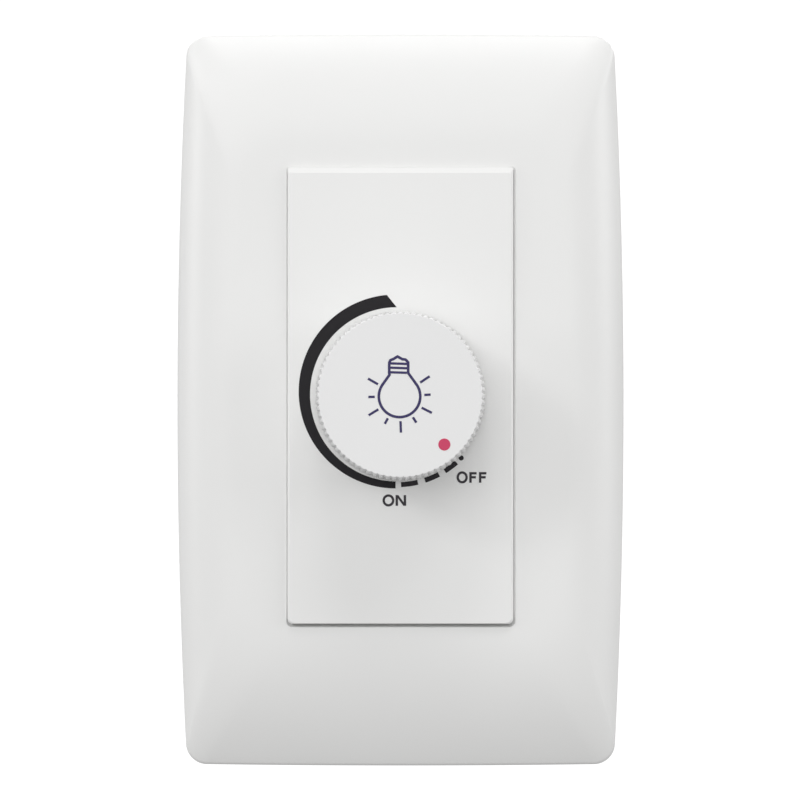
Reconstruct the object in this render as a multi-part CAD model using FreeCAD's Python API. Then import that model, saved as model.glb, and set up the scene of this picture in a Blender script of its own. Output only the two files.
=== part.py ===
import FreeCAD, Part
import math
import os
from FreeCAD import Vector

# Rotary dimmer switch for a wall box, in millimetres.
# +X is the viewer's right, +Z is up, and the front looks towards -Y.
# The wall plane is y = 0 and the origin is the centre of the wall fixing.
# A "rise" is a height in front of the wall, so y = -rise.

# Cover plate: its borders are measured from the face's edge to the plate's edge
plate_side_border = 17.9
plate_end_border = 22.5
plate_drop = 0.5
plate_side_bulge = 1.6
plate_end_bulge = 0.3
plate_rim_corner = 3.4
plate_field_corner = 9.0
plate_field_rise = 8.5
plate_rim_rise = 3.8
plate_wall = 1.8
plate_side_roll = 9.0
plate_top_slope = 18.0
plate_bottom_slope = 21.5
plate_collar_wall = 1.3
plate_rib_thickness = 1.0
plate_rib_end_gap = 14.5

# Dimmer face, which stands in the plate's window
face_width = 36.2
face_height = 73.0
face_proud = 0.8
face_gap = 0.25
face_thickness = 2.0
face_top_corner = 0.4
face_bottom_corner = 0.9
face_edge_chamfer = 0.35
skirt_wall = 1.8
skirt_tail = 1.0
seat_flange_reach = 1.25
seat_flange_thickness = 1.2
module_barb_width = 6.0
module_barb_reach = 0.9
module_barb_end_gap = 11.5
module_slit_width = 0.9

# Mounting frame
frame_side_gap = 4.7
frame_end_gap = 5.2
frame_corner = 4.0
frame_thickness = 1.8
frame_rim_rise = 3.3
frame_rim_wall = 1.5
frame_seat_rise = 3.5
frame_seat_wall = 1.3
fixing_beyond_face = 5.25
fixing_slot_radius = 2.2
fixing_slot_length = 6.4
fixing_head_radius = 4.2
catch_width = 8.0
catch_edge_gap = 8.5
catch_reach = 0.8
catch_height = 1.0
catch_drop = 0.1

# Hooks of the plate
hook_thickness = 1.5
hook_barb_height = 1.0

# Clearances
fit_gap = 0.2
slip_gap = 0.02
running_gap = 0.05
end_play = 0.15
inner_play = 0.3
cut_over = 1.0

# Rear housing
housing_wall = 1.8
housing_draft_reach = 0.8
housing_corner = 2.5
housing_inner_corner = 2.0
housing_lip_height = 1.5
housing_lip_wall = 0.8
column_radius = 3.2
column_inset = 2.6
vent_width = 1.6
vent_length = 12.0
vent_pitch = 3.6
vent_count = 5
ledge_end_gap = 6.0
ledge_thickness = 1.6
ledge_grip = 1.0

# Case screws
screw_radius = 1.3
screw_length = 10.0
screw_head_radius = 2.3
screw_head_height = 1.6
screw_head_chamfer = 0.5
screw_drive_reach = 1.4
screw_drive_width = 0.6
screw_drive_depth = 0.9
screw_seat_depth = 4.0

# Knob
knob_base_radius = 13.6
knob_face_radius = 13.05
knob_height = 13.7
knob_lift = 0.5
knob_teeth = 80
knob_tooth_depth = 0.35
knob_edge_height = 0.3
knob_edge_inset = 0.2
knob_wall = 1.6
knob_face_thickness = 2.0
knob_boss_radius = 5.2
knob_rib_count = 6
knob_rib_thickness = 1.2
knob_rib_recess = 1.2

# Potentiometer with its switch
shaft_radius = 3.0
shaft_flat = 1.5
shaft_neck_radius = 1.9
shaft_tail_radius = 1.2
shaft_tip_gap = 0.4
bush_radius = 3.5
bush_proud = 3.2
bush_flange_radius = 5.2
bush_flange_thickness = 1.0
bush_spigot_radius = 4.3
bush_stake = 0.4
bush_chamfer = 0.35
washer_radius = 6.0
washer_thickness = 0.5
nut_across_flats = 10.0
nut_height = 2.0
ring_radius = 4.3
ring_thickness = 0.6
ring_groove_radius = 2.4
ring_mouth = 3.6
can_radius = 8.3
can_wall = 0.5
rotor_radius = 6.6
rotor_thickness = 2.2
rotor_lug_radius = 7.4
rotor_lug_angle = 20.0
stop_clearance_angle = 2.0
stop_inner_radius = 6.9
wiper_thickness = 0.3
wiper_radius = 5.6
wiper_finger_width = 1.4
wiper_finger_length = 1.2
track_gap = 1.7
track_thickness = 1.6
track_tongue_width = 9.0
track_tongue_drop = 12.0
switch_radius = 7.9
switch_wall = 1.2
switch_depth = 6.5
cam_radius = 3.4
cam_lobe_radius = 4.9
cam_lobe_width = 2.4
cam_thickness = 2.5
contact_width = 1.2
contact_thickness = 0.7
contact_height = 3.0
contact_place_x = 2.6
pot_pin_pitch = 2.5
pot_pin_place = 10.6
turn_range = 219.0
off_pointer_angle = 138.0

# Circuit board and what it carries
board_side_gap = 0.7
board_end_gap = 0.9
board_thickness = 1.6
board_gap = 0.5
component_room = 16.6
lead_width = 0.7
lead_clearance = 0.12
lead_tail = 0.8
stand_off = 0.4
film_edge_gap = 1.35
film_end_gap = 1.9
film_choke_gap = 1.05
film_height = 13.0
film_tall = 8.6
film_lead_pitch = 10.0
timing_edge_gap = 2.3
timing_width = 2.6
timing_height = 7.2
timing_tall = 6.5
timing_lead_pitch = 5.0
fuse_edge_gap = 2.2
fuse_terminal_gap = 1.6
fuse_radius = 4.2
fuse_tall = 8.0
fuse_lead_pitch = 5.08
resistor_count = 3
resistor_radius = 1.15
resistor_length = 6.3
resistor_lead_pitch = 9.3
diac_radius = 0.95
diac_length = 4.0
diac_lead_pitch = 6.9

# Triac on its heat sink, near the right-hand wall
sink_edge_gap = 3.8
sink_wall = 1.5
sink_terminal_gap = 2.0
sink_choke_gap = 0.9
sink_leg = 7.0
sink_board_gap = 0.6
sink_tall = 15.2
triac_width = 10.2
triac_body_tall = 9.2
triac_body_thickness = 4.4
triac_tab_thickness = 1.3
triac_tall = 15.5
triac_hole_radius = 1.8
triac_hole_drop = 2.9
triac_lead_pitch = 2.54
sink_screw_radius = 1.48
sink_screw_head_radius = 2.75
sink_screw_head_height = 2.0
sink_nut_flats = 5.5
sink_nut_height = 2.4

# Choke
choke_edge_gap = 0.9
choke_end_gap = 2.3
choke_inner = 3.6
choke_outer = 6.8
choke_tall = 5.6
choke_wire = 1.1
choke_turns = 15
choke_wound_angle = 330.0

# Terminals
terminal_place = 5.0
terminal_width = 6.4
terminal_height = 7.0
terminal_length = 9.6
terminal_rear_gap = 0.4
terminal_floor_gap = 1.2
wire_bore_radius = 1.7
wire_bore_depth = 8.6
wire_window_gap = 0.8
clamp_screw_radius = 1.5
clamp_screw_head_radius = 2.3
clamp_screw_head_height = 2.0
clamp_screw_place = 5.8
clamp_screw_access_radius = 2.7

# Places along the depth, all worked out from the sizes above
face_rise = plate_field_rise + face_proud
face_back_rise = face_rise - face_thickness
seat_flange_rise = frame_seat_rise + seat_flange_thickness
bush_top_rise = face_rise + bush_proud
ring_rise = bush_top_rise + end_play
ring_top_rise = ring_rise + ring_thickness
knob_base_rise = face_rise + knob_lift
knob_face_rise = knob_base_rise + knob_height
knob_ceiling_rise = knob_face_rise - knob_face_thickness
boss_rise = ring_top_rise + 2 * end_play
can_front_rise = face_back_rise - bush_flange_thickness
rotor_top_rise = can_front_rise - can_wall - bush_stake - inner_play
rotor_back_rise = rotor_top_rise - rotor_thickness
track_rise = rotor_back_rise - track_gap
track_back_rise = track_rise - track_thickness
switch_back_rise = track_back_rise - switch_depth
board_front_rise = switch_back_rise - board_gap
board_back_rise = board_front_rise - board_thickness
housing_floor_rise = board_back_rise - component_room
housing_back_rise = housing_floor_rise - housing_wall
housing_front_rise = -skirt_tail
column_x = face_width / 2 - skirt_wall - column_inset
column_z = face_height / 2 - skirt_wall - column_inset

# Places across the front, from the face outwards
plate_half_width = face_width / 2 + plate_side_border
plate_half_height = face_height / 2 + plate_end_border
frame_half_width = plate_half_width - plate_wall - frame_side_gap
frame_half_height = plate_half_height - plate_wall - frame_end_gap
window_x = face_width / 2 + face_gap
window_z = face_height / 2 + face_gap
fixing_reach = face_height / 2 + fixing_beyond_face
catch_place = frame_half_width - catch_edge_gap - catch_width / 2
rib_place = face_height / 2 - plate_rib_end_gap
module_barb_place = face_height / 2 - module_barb_end_gap

# Places across the case
board_half_width = face_width / 2 - housing_wall - housing_draft_reach - board_side_gap
board_half_height = column_z - column_radius - board_end_gap
ledge_place = board_half_height - ledge_end_gap
case_floor_z = housing_wall + housing_draft_reach - face_height / 2
terminal_seat_z = case_floor_z + terminal_floor_gap + clamp_screw_head_height
terminal_top_z = terminal_seat_z + terminal_height
terminal_axis_z = terminal_seat_z + terminal_height / 2
clamp_screw_rise = housing_floor_rise + terminal_rear_gap + clamp_screw_place
contact_reach = switch_radius - switch_wall - fit_gap
contact_place_z = (math.sqrt(contact_reach ** 2 - (contact_place_x + contact_width / 2) ** 2)
                   - contact_thickness / 2)

# Places of the parts on the board: the choke and the film capacitor at the top,
# the fuse above the terminals, the small parts in a row between them, and the heat sink at the right
choke_foot_rise = board_back_rise - lead_tail - fit_gap
choke_reach = choke_outer + choke_wire + slip_gap
choke_x = choke_edge_gap + choke_reach - board_half_width
choke_z = board_half_height - choke_end_gap - choke_reach
film_low_x = choke_x + choke_reach + film_choke_gap
film_high_x = board_half_width - film_edge_gap
film_z = board_half_height - film_end_gap - film_height / 2
fuse_x = fuse_edge_gap + fuse_radius - board_half_width
fuse_z = terminal_top_z + fuse_terminal_gap + fuse_radius
row_z = (fuse_z + fuse_radius + choke_z - choke_reach) / 2
timing_x = timing_edge_gap + timing_width / 2 - board_half_width
sink_x = board_half_width - sink_edge_gap
sink_low_z = terminal_top_z + sink_terminal_gap
sink_high_z = choke_z - choke_reach - sink_choke_gap
sink_z = (sink_low_z + sink_high_z) / 2
sink_screw_rise = board_back_rise - stand_off - triac_tall + triac_hole_drop
row_low_x = timing_x + timing_width / 2
row_high_x = sink_x - triac_body_thickness
row_gap = ((row_high_x - row_low_x - 2 * resistor_count * resistor_radius - 2 * diac_radius)
           / (resistor_count + 2))
diac_x = row_high_x - row_gap - diac_radius

# Where leads pass through the circuit board, as (x, z), for its holes
lead_places = []


def disc(radius, low, high, x=0.0, z=0.0):
    """A cylinder along the depth, between two rises."""
    return Part.makeCylinder(radius, high - low, Vector(x, -low, z), Vector(0, -1, 0))


def block(x_low, x_high, low, high, z_low, z_high):
    """A box between two rises."""
    corner = Vector(x_low, -high, z_low)
    return Part.makeBox(x_high - x_low, high - low, z_high - z_low, corner)


def joined(first, others):
    """One solid from pieces of one moulding."""
    return first.fuse(others).removeSplitter()


def pin(x, z, low, high, gap=0.0):
    """A square pin along the depth, or with a gap the hole for it."""
    half = lead_width / 2 + gap
    return block(x - half, x + half, low, high, z - half, z + half)


def sector(inner, outer, low, high, start, end):
    """Part of a ring between two angles, in degrees clockwise from straight up."""
    span = math.radians(end - start)
    ring = disc(outer, low, high).cut(disc(inner, low, high))
    middle = math.radians((start + end) / 2)
    reach = outer * 2 / math.cos(span / 4)
    angles = [middle - span / 2, middle - span / 4, middle, middle + span / 4, middle + span / 2]
    points = [Vector(0, -low, 0)]
    points += [Vector(reach * math.sin(a), -low, reach * math.cos(a)) for a in angles]
    wedge = Part.Face(Part.makePolygon(points + points[:1])).extrude(Vector(0, low - high, 0))
    return ring.common(wedge)


def corner_rectangle(rise, half_width, z_low, z_high, low_corner, high_corner):
    """A wire round a rectangle with rounded corners, across the depth."""
    edges = []
    corners = []
    for x_sign, z_edge, z_sign, radius in ((1, z_low, -1, low_corner), (1, z_high, 1, high_corner),
                                           (-1, z_high, 1, high_corner), (-1, z_low, -1, low_corner)):
        centre = Vector(x_sign * (half_width - radius), -rise, z_edge - z_sign * radius)
        on_side = centre + Vector(x_sign * radius, 0, 0)
        on_bend = centre + Vector(x_sign, 0, z_sign) * (radius * math.sqrt(0.5))
        on_end = centre + Vector(0, 0, z_sign * radius)
        if x_sign * z_sign > 0:
            corners.append((on_side, on_bend, on_end))
        else:
            corners.append((on_end, on_bend, on_side))
    for index, corner in enumerate(corners):
        edges.append(Part.Arc(*corner).toShape())
        edges.append(Part.LineSegment(corner[2], corners[(index + 1) % 4][0]).toShape())
    return Part.Wire(edges)


def rounded_prism(half_width, z_low, z_high, low, high, low_corner, high_corner=None):
    """A prism along the depth on a rectangle with rounded corners."""
    top_corner = low_corner if high_corner is None else high_corner
    wire = corner_rectangle(low, half_width, z_low, z_high, low_corner, top_corner)
    return Part.Face(wire).extrude(Vector(0, low - high, 0))


def barrel_wire(rise, half_width, z_low, z_high, corner):
    """The plate's outline: four bowed sides and four tangent corners."""
    half_height = (z_high - z_low) / 2
    z_mid = (z_high + z_low) / 2
    side_radius = (half_height ** 2 + plate_side_bulge ** 2) / (2 * plate_side_bulge)
    end_radius = (half_width ** 2 + plate_end_bulge ** 2) / (2 * plate_end_bulge)
    side_centre = Vector(half_width - side_radius, 0, 0)
    end_centre = Vector(0, 0, half_height - end_radius)
    side_reach = side_radius - corner
    end_reach = end_radius - corner
    between = end_centre - side_centre
    distance = between.Length
    along = (side_reach ** 2 - end_reach ** 2 + distance ** 2) / (2 * distance)
    across = math.sqrt(side_reach ** 2 - along ** 2)
    unit = Vector(between).normalize()
    normal = Vector(-unit.z, 0, unit.x)
    if normal.x + normal.z < 0:
        normal = normal.multiply(-1)
    corner_centre = side_centre + unit * along + normal * across
    on_side = side_centre + (corner_centre - side_centre) * (side_radius / side_reach)
    on_end = end_centre + (corner_centre - end_centre) * (end_radius / end_reach)
    outward = ((on_side - corner_centre) + (on_end - corner_centre)).normalize()
    on_bend = corner_centre + outward * corner

    def place(point, x_sign, z_sign):
        return Vector(point.x * x_sign, -rise, z_mid + point.z * z_sign)

    edges = []
    for x_sign, z_sign in ((1, 1), (-1, 1), (-1, -1), (1, -1)):
        side_point = place(on_side, x_sign, z_sign)
        end_point = place(on_end, x_sign, z_sign)
        bend = place(on_bend, x_sign, z_sign)
        if x_sign * z_sign > 0:
            opposite = place(on_side, x_sign, -z_sign)
            crown = place(Vector(half_width, 0, 0), x_sign, z_sign)
            edges.append(Part.Arc(opposite, crown, side_point).toShape())
            edges.append(Part.Arc(side_point, bend, end_point).toShape())
        else:
            opposite = place(on_end, -x_sign, z_sign)
            crown = place(Vector(0, 0, half_height), x_sign, z_sign)
            edges.append(Part.Arc(opposite, crown, end_point).toShape())
            edges.append(Part.Arc(end_point, bend, side_point).toShape())
    return Part.Wire(edges)


def slope_inset(reach, drop, wall):
    """How far in the plate's surface is after a drop from its field, on one side.

    The slope is an arc that leaves the field flat and meets the rim.
    """
    full_drop = plate_field_rise - plate_rim_rise
    radius = (reach ** 2 + full_drop ** 2) / (2 * full_drop) - wall
    return max(wall, reach - math.sqrt(radius ** 2 - (radius - drop) ** 2))


def plate_section(drop, wall=0.0):
    """The plate's outline after a drop from its field, or that of its hollow."""
    full_drop = plate_field_rise - plate_rim_rise
    share = math.sqrt(drop / full_drop)
    corner = plate_field_corner + (plate_rim_corner - plate_field_corner) * share
    half_width = plate_half_width - slope_inset(plate_side_roll, drop, wall)
    z_high = plate_half_height - slope_inset(plate_top_slope, drop, wall) - plate_drop
    z_low = -plate_half_height + slope_inset(plate_bottom_slope, drop, wall) - plate_drop
    return barrel_wire(plate_field_rise - wall - drop, half_width, z_low, z_high, corner)


def plate_body(wall=0.0, steps=5, ruled=False):
    """The plate's outer form, or with a wall its hollow."""
    full_drop = plate_field_rise - plate_rim_rise
    sections = [plate_section(full_drop * (step / steps) ** 2, wall) for step in range(steps, -1, -1)]
    crown = Part.makeLoft(sections, True, ruled)
    rim_rise = plate_rim_rise - wall
    foot = Part.Face(sections[0]).extrude(Vector(0, rim_rise, 0))
    return crown.fuse(foot).removeSplitter()


def wall_plate():
    """Moulded cover plate with its window, collar, ribs and four hooks."""
    outer = plate_body()
    hollow = plate_body(plate_wall, 3, True)
    shell = outer.cut(hollow)
    ceiling = plate_field_rise - plate_wall / 2
    collar_rise = seat_flange_rise + fit_gap
    collar_x = window_x + plate_collar_wall
    collar_z = window_z + plate_collar_wall
    collar = rounded_prism(collar_x, -collar_z, collar_z, collar_rise, ceiling, plate_collar_wall)
    ribs = []
    for side in (-1, 1):
        for place in (-rib_place, 0.0, rib_place):
            x_low, x_high = sorted((side * (window_x + plate_collar_wall / 2), side * plate_half_width))
            z_low = place - plate_rib_thickness / 2
            rib = block(x_low, x_high, collar_rise, ceiling, z_low, z_low + plate_rib_thickness)
            ribs.append(rib.common(outer))
    hooks = []
    catch_top = frame_rim_rise - catch_drop
    barb_top = catch_top - catch_height - fit_gap
    for end in (-1, 1):
        for side in (-1, 1):
            x_low = side * catch_place - catch_width / 2
            near = frame_half_height + catch_reach + fit_gap
            tip = frame_half_height + fit_gap
            z_low, z_high = sorted((end * near, end * (near + hook_thickness)))
            finger = block(x_low, x_low + catch_width, barb_top - hook_barb_height, ceiling, z_low, z_high)
            z_low, z_high = sorted((end * tip, end * (near + hook_thickness)))
            barb = block(x_low, x_low + catch_width, barb_top - hook_barb_height, barb_top, z_low, z_high)
            hooks.append(finger.fuse(barb).common(outer))
    plate = joined(shell, [collar] + ribs + hooks)
    window = rounded_prism(window_x, -window_z, window_z, 0, face_rise, face_bottom_corner)
    return plate.cut(window)


def fixing_slot(end, low, high):
    """The slot for one wall screw, with its long way along Z."""
    centre = end * fixing_reach
    half = fixing_slot_length / 2 - fixing_slot_radius
    middle = block(-fixing_slot_radius, fixing_slot_radius, low, high, centre - half, centre + half)
    rounds = [disc(fixing_slot_radius, low, high, 0, centre + sign * half) for sign in (-1, 1)]
    return joined(middle, rounds)


def mounting_frame():
    """Moulded frame that the wall screws hold: it carries the dimmer and the plate."""
    half_x = frame_half_width
    half_z = frame_half_height
    sheet = rounded_prism(half_x, -half_z, half_z, 0, frame_thickness, frame_corner)
    rim = rounded_prism(half_x, -half_z, half_z, 0, frame_rim_rise, frame_corner)
    inner_x = half_x - frame_rim_wall
    inner_z = half_z - frame_rim_wall
    inner_corner = frame_corner - frame_rim_wall
    rim = rim.cut(rounded_prism(inner_x, -inner_z, inner_z, 0, frame_rim_rise, inner_corner))
    seat_x = window_x + frame_seat_wall
    seat_z = window_z + frame_seat_wall
    seat = rounded_prism(seat_x, -seat_z, seat_z, 0, frame_seat_rise, frame_seat_wall)
    catch_top = frame_rim_rise - catch_drop
    catches = []
    for end in (-1, 1):
        for side in (-1, 1):
            x_low = side * catch_place - catch_width / 2
            z_low, z_high = sorted((end * (half_z - frame_rim_wall), end * (half_z + catch_reach)))
            catches.append(block(x_low, x_low + catch_width, catch_top - catch_height, catch_top,
                                 z_low, z_high))
    frame = joined(sheet, [rim, seat] + catches)
    window = rounded_prism(window_x, -window_z, window_z, 0, frame_seat_rise, face_bottom_corner)
    frame = frame.cut(window)
    for end in (-1, 1):
        frame = frame.cut(fixing_slot(end, 0, frame_thickness))
        head = disc(fixing_head_radius, frame_thickness, frame_seat_rise, 0, end * fixing_reach)
        frame = frame.cut(head)
    return frame


def module_cover():
    """Front half of the dimmer's case: the white face with a skirt behind it."""
    half_x = face_width / 2
    half_z = face_height / 2
    chamfer = face_edge_chamfer
    body = rounded_prism(half_x, -half_z, half_z, -skirt_tail, face_rise - chamfer,
                         face_bottom_corner, face_top_corner)
    edge = Part.makeLoft([
        corner_rectangle(face_rise - chamfer, half_x, -half_z, half_z, face_bottom_corner, face_top_corner),
        corner_rectangle(face_rise, half_x - chamfer, chamfer - half_z, half_z - chamfer,
                         face_bottom_corner, face_top_corner),
    ], True, True)
    flange_x = half_x + seat_flange_reach
    flange_z = half_z + seat_flange_reach
    flange = rounded_prism(flange_x, -flange_z, flange_z, frame_seat_rise, seat_flange_rise,
                           seat_flange_reach)
    barbs = []
    slits = []
    for side in (-1, 1):
        for end in (-1, 1):
            z_low = end * module_barb_place - module_barb_width / 2
            z_high = z_low + module_barb_width
            x_low, x_high = sorted((side * (half_x - skirt_wall), side * (half_x + module_barb_reach)))
            barb = block(x_low, x_high, -skirt_tail, -end_play, z_low, z_high)
            barbs.append(barb)
            x_low, x_high = sorted((side * (half_x - skirt_wall - cut_over), side * (half_x + cut_over)))
            for z in (z_low - module_slit_width, z_high):
                slit_top = frame_seat_rise - fit_gap
                slits.append(block(x_low, x_high, -skirt_tail, slit_top, z, z + module_slit_width))
    cover = joined(body, [edge, flange] + barbs)
    inner_x = half_x - skirt_wall
    inner_z = half_z - skirt_wall
    cover = cover.cut(rounded_prism(inner_x, -inner_z, inner_z, -skirt_tail, face_back_rise,
                                    housing_lip_wall))
    bosses = [disc(column_radius - fit_gap, -skirt_tail, face_back_rise + face_thickness / 2, x, z)
              for x in (-column_x, column_x) for z in (-column_z, column_z)]
    cover = joined(cover, bosses)
    for x in (-column_x, column_x):
        for z in (-column_z, column_z):
            depth = screw_length - screw_seat_depth
            cover = cover.cut(disc(screw_radius + slip_gap, -skirt_tail, depth, x, z))
    for slit in slits:
        cover = cover.cut(slit)
    return cover.cut(disc(bush_radius + fit_gap, face_back_rise, face_rise))


def housing_half_sizes(rise):
    """Outer half width and half height of the housing at a rise, with its draft."""
    share = (housing_front_rise - rise) / (housing_front_rise - housing_back_rise)
    draft = housing_draft_reach * share
    return face_width / 2 - draft, face_height / 2 - draft


def housing_form(inset, corner, low, high):
    """The housing's drafted form, brought in by a wall, between two rises."""
    wires = []
    for rise in (low, high):
        half_x, half_z = housing_half_sizes(rise)
        wires.append(corner_rectangle(rise, half_x - inset, inset - half_z, half_z - inset, corner, corner))
    return Part.makeLoft(wires, True, True)


def housing_lip():
    """The housing's locating lip: it stands in the cover's skirt, on a thicker foot."""
    lip_x = face_width / 2 - skirt_wall - fit_gap
    lip_z = face_height / 2 - skirt_wall - fit_gap
    top = housing_front_rise + housing_lip_height
    foot = housing_front_rise - housing_lip_height
    lip = rounded_prism(lip_x, -lip_z, lip_z, housing_front_rise, top, housing_lip_wall)
    root_x = face_width / 2 - housing_wall / 2
    root_z = face_height / 2 - housing_wall / 2
    lip = lip.fuse(rounded_prism(root_x, -root_z, root_z, foot, housing_front_rise, housing_corner))
    inner_x = lip_x - housing_lip_wall
    inner_z = lip_z - housing_lip_wall
    lip = lip.cut(rounded_prism(inner_x, -inner_z, inner_z, foot, top, housing_lip_wall))
    tongue_reach = module_barb_width / 2 + module_slit_width
    for side in (-1, 1):
        for end in (-1, 1):
            z_mid = end * module_barb_place
            x_low, x_high = sorted((side * (inner_x - housing_lip_wall), side * (lip_x + housing_lip_wall)))
            lip = lip.cut(block(x_low, x_high, housing_front_rise, top,
                                z_mid - tongue_reach, z_mid + tongue_reach))
            lip = lip.cut(disc(column_radius + fit_gap, housing_front_rise, top,
                               side * column_x, end * column_z))
    return lip


def module_housing():
    """Rear half of the dimmer's case, with screw columns, vents and the window for the wires."""
    shell = housing_form(0, housing_corner, housing_back_rise, housing_front_rise)
    hollow = housing_form(housing_wall, housing_inner_corner, housing_floor_rise, housing_front_rise)
    corners = [(x, z) for x in (-column_x, column_x) for z in (-column_z, column_z)]
    columns = [disc(column_radius, housing_floor_rise - housing_wall / 2, housing_front_rise, x, z)
               for x, z in corners]
    ledges = []
    ledge_x = board_half_width - ledge_grip
    ledge_root_x = face_width / 2 - housing_draft_reach - housing_wall / 2
    for side in (-1, 1):
        for end in (-1, 1):
            x_low, x_high = sorted((side * ledge_x, side * ledge_root_x))
            z_low = end * ledge_place - ledge_thickness / 2
            ledges.append(block(x_low, x_high, housing_floor_rise - housing_wall / 2, board_back_rise,
                                z_low, z_low + ledge_thickness))
    housing = joined(shell.cut(hollow), [housing_lip()] + columns + ledges)
    seat_rise = housing_front_rise - screw_seat_depth
    for x, z in corners:
        housing = housing.cut(disc(screw_radius + fit_gap, seat_rise, housing_front_rise, x, z))
        housing = housing.cut(disc(screw_head_radius + fit_gap, housing_back_rise, seat_rise, x, z))
    vent_middle = board_back_rise - component_room / 2
    for index in range(vent_count):
        x = (index - (vent_count - 1) / 2) * vent_pitch
        vent = block(x - vent_width / 2, x + vent_width / 2,
                     vent_middle - vent_length / 2, vent_middle + vent_length / 2,
                     face_height / 2 - 2 * housing_wall, face_height / 2 + housing_wall)
        housing = housing.cut(vent)
    reach = wire_bore_radius + wire_window_gap
    wire_window = block(-terminal_place - reach, terminal_place + reach,
                        housing_back_rise, housing_floor_rise,
                        terminal_axis_z - reach, terminal_axis_z + reach)
    housing = housing.cut(wire_window)
    for x in (-terminal_place, terminal_place):
        housing = housing.cut(clamp_upright(clamp_screw_access_radius, x,
                                            -face_height / 2, case_floor_z + housing_wall))
    return housing


def case_screw(x, z):
    """One self-tapping case screw with a cross recess, head to the rear."""
    seat_rise = housing_front_rise - screw_seat_depth
    head = disc(screw_head_radius, seat_rise - screw_head_height, seat_rise, x, z)
    head = head.makeChamfer(screw_head_chamfer, [head.Edges[2]])
    shank = disc(screw_radius, seat_rise, seat_rise + screw_length - skirt_tail - slip_gap, x, z)
    screw = head.fuse(shank)
    drive_low = seat_rise - screw_head_height
    for half_x, half_z in ((screw_drive_reach, screw_drive_width / 2),
                           (screw_drive_width / 2, screw_drive_reach)):
        slot = block(x - half_x, x + half_x, drive_low, drive_low + screw_drive_depth, z - half_z, z + half_z)
        screw = screw.cut(slot)
    return screw


def housing_screws():
    """The four case screws."""
    places = [(x, z) for x in (-column_x, column_x) for z in (-column_z, column_z)]
    return Part.makeCompound([case_screw(x, z) for x, z in places])


def tooth_wire(rise, radius, depth):
    """The knob's outline: grip teeth with flat tips."""
    points = []
    pitch = 2 * math.pi / knob_teeth
    for tooth in range(knob_teeth):
        for share, reach in ((0.0, radius - depth), (0.3, radius), (0.7, radius)):
            angle = (tooth + share) * pitch
            points.append(Vector(reach * math.sin(angle), -rise, reach * math.cos(angle)))
    return Part.makePolygon(points + points[:1])


def shaft_bore(radius, low, high, flat):
    """A D-shaped prism, as the shaft and the knob's bore have."""
    full = disc(radius, low, high)
    return full.cut(block(-radius, radius, low, high, radius - flat, radius + cut_over))


def knob():
    """Tapered knob with grip teeth, hollow, with a ribbed boss on the shaft."""
    edge_rise = knob_face_rise - knob_edge_height
    body = Part.makeLoft([
        tooth_wire(knob_base_rise, knob_base_radius, knob_tooth_depth),
        tooth_wire(edge_rise, knob_face_radius, knob_tooth_depth),
        tooth_wire(knob_face_rise, knob_face_radius - knob_edge_inset, knob_tooth_depth / 2),
    ], True, True)
    inner_base = knob_base_radius - knob_tooth_depth - knob_wall
    inner_top = knob_face_radius - knob_tooth_depth - knob_wall
    height = knob_ceiling_rise - knob_base_rise
    hollow = Part.makeCone(inner_base, inner_top, height, Vector(0, -knob_base_rise, 0), Vector(0, -1, 0))
    boss = disc(knob_boss_radius, boss_rise, knob_ceiling_rise + knob_face_thickness / 2)
    ribs = []
    for index in range(knob_rib_count):
        rib = block(-knob_rib_thickness / 2, knob_rib_thickness / 2, boss_rise + knob_rib_recess,
                    knob_ceiling_rise + knob_face_thickness / 2,
                    (knob_boss_radius + shaft_radius) / 2, inner_top + knob_wall / 2)
        rib.rotate(Vector(0, 0, 0), Vector(0, 1, 0), (index + 0.5) * 360 / knob_rib_count)
        ribs.append(rib)
    shell = body.cut(hollow)
    shell = joined(shell, [boss] + ribs)
    bore = shaft_bore(shaft_radius + slip_gap, boss_rise, knob_ceiling_rise, shaft_flat)
    return shell.cut(bore)


def pot_shaft():
    """Turned shaft: flatted end for the knob, ring groove, neck and tail."""
    tip_rise = knob_ceiling_rise - shaft_tip_gap
    body = disc(shaft_radius, rotor_top_rise, boss_rise)
    end = shaft_bore(shaft_radius, boss_rise, tip_rise, shaft_flat)
    neck = disc(shaft_neck_radius, rotor_back_rise - wiper_thickness, rotor_top_rise)
    tail_low = switch_back_rise + switch_wall + inner_play
    tail = disc(shaft_tail_radius, tail_low, rotor_back_rise)
    shaft = joined(body, [end, neck, tail])
    groove_low = ring_rise - slip_gap
    groove_high = ring_top_rise + slip_gap
    groove = disc(shaft_radius + cut_over, groove_low, groove_high)
    groove = groove.cut(disc(ring_groove_radius, groove_low, groove_high))
    return shaft.cut(groove)


def pot_retaining_ring():
    """Spring ring in the shaft's groove, in front of the bush."""
    ring = disc(ring_radius, ring_rise, ring_top_rise)
    ring = ring.cut(disc(ring_groove_radius + slip_gap, ring_rise, ring_top_rise))
    mouth = block(-ring_mouth / 2, ring_mouth / 2, ring_rise, ring_top_rise, -ring_radius, 0)
    return ring.cut(mouth)


def pot_bush():
    """Threaded bush with its flange and the spigot staked in the can."""
    thread = disc(bush_radius, face_back_rise, bush_top_rise)
    thread = thread.makeChamfer(bush_chamfer, [thread.Edges[0]])
    flange = disc(bush_flange_radius, can_front_rise, face_back_rise)
    spigot_low = can_front_rise - can_wall - bush_stake
    spigot = disc(bush_spigot_radius, spigot_low, can_front_rise)
    bush = joined(flange, [thread, spigot])
    return bush.cut(disc(shaft_radius + running_gap, spigot_low, bush_top_rise))


def pot_washer():
    """Plain washer under the bush nut."""
    outer = disc(washer_radius, face_rise, face_rise + washer_thickness)
    return outer.cut(disc(bush_radius + slip_gap, face_rise, face_rise + washer_thickness))


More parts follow.
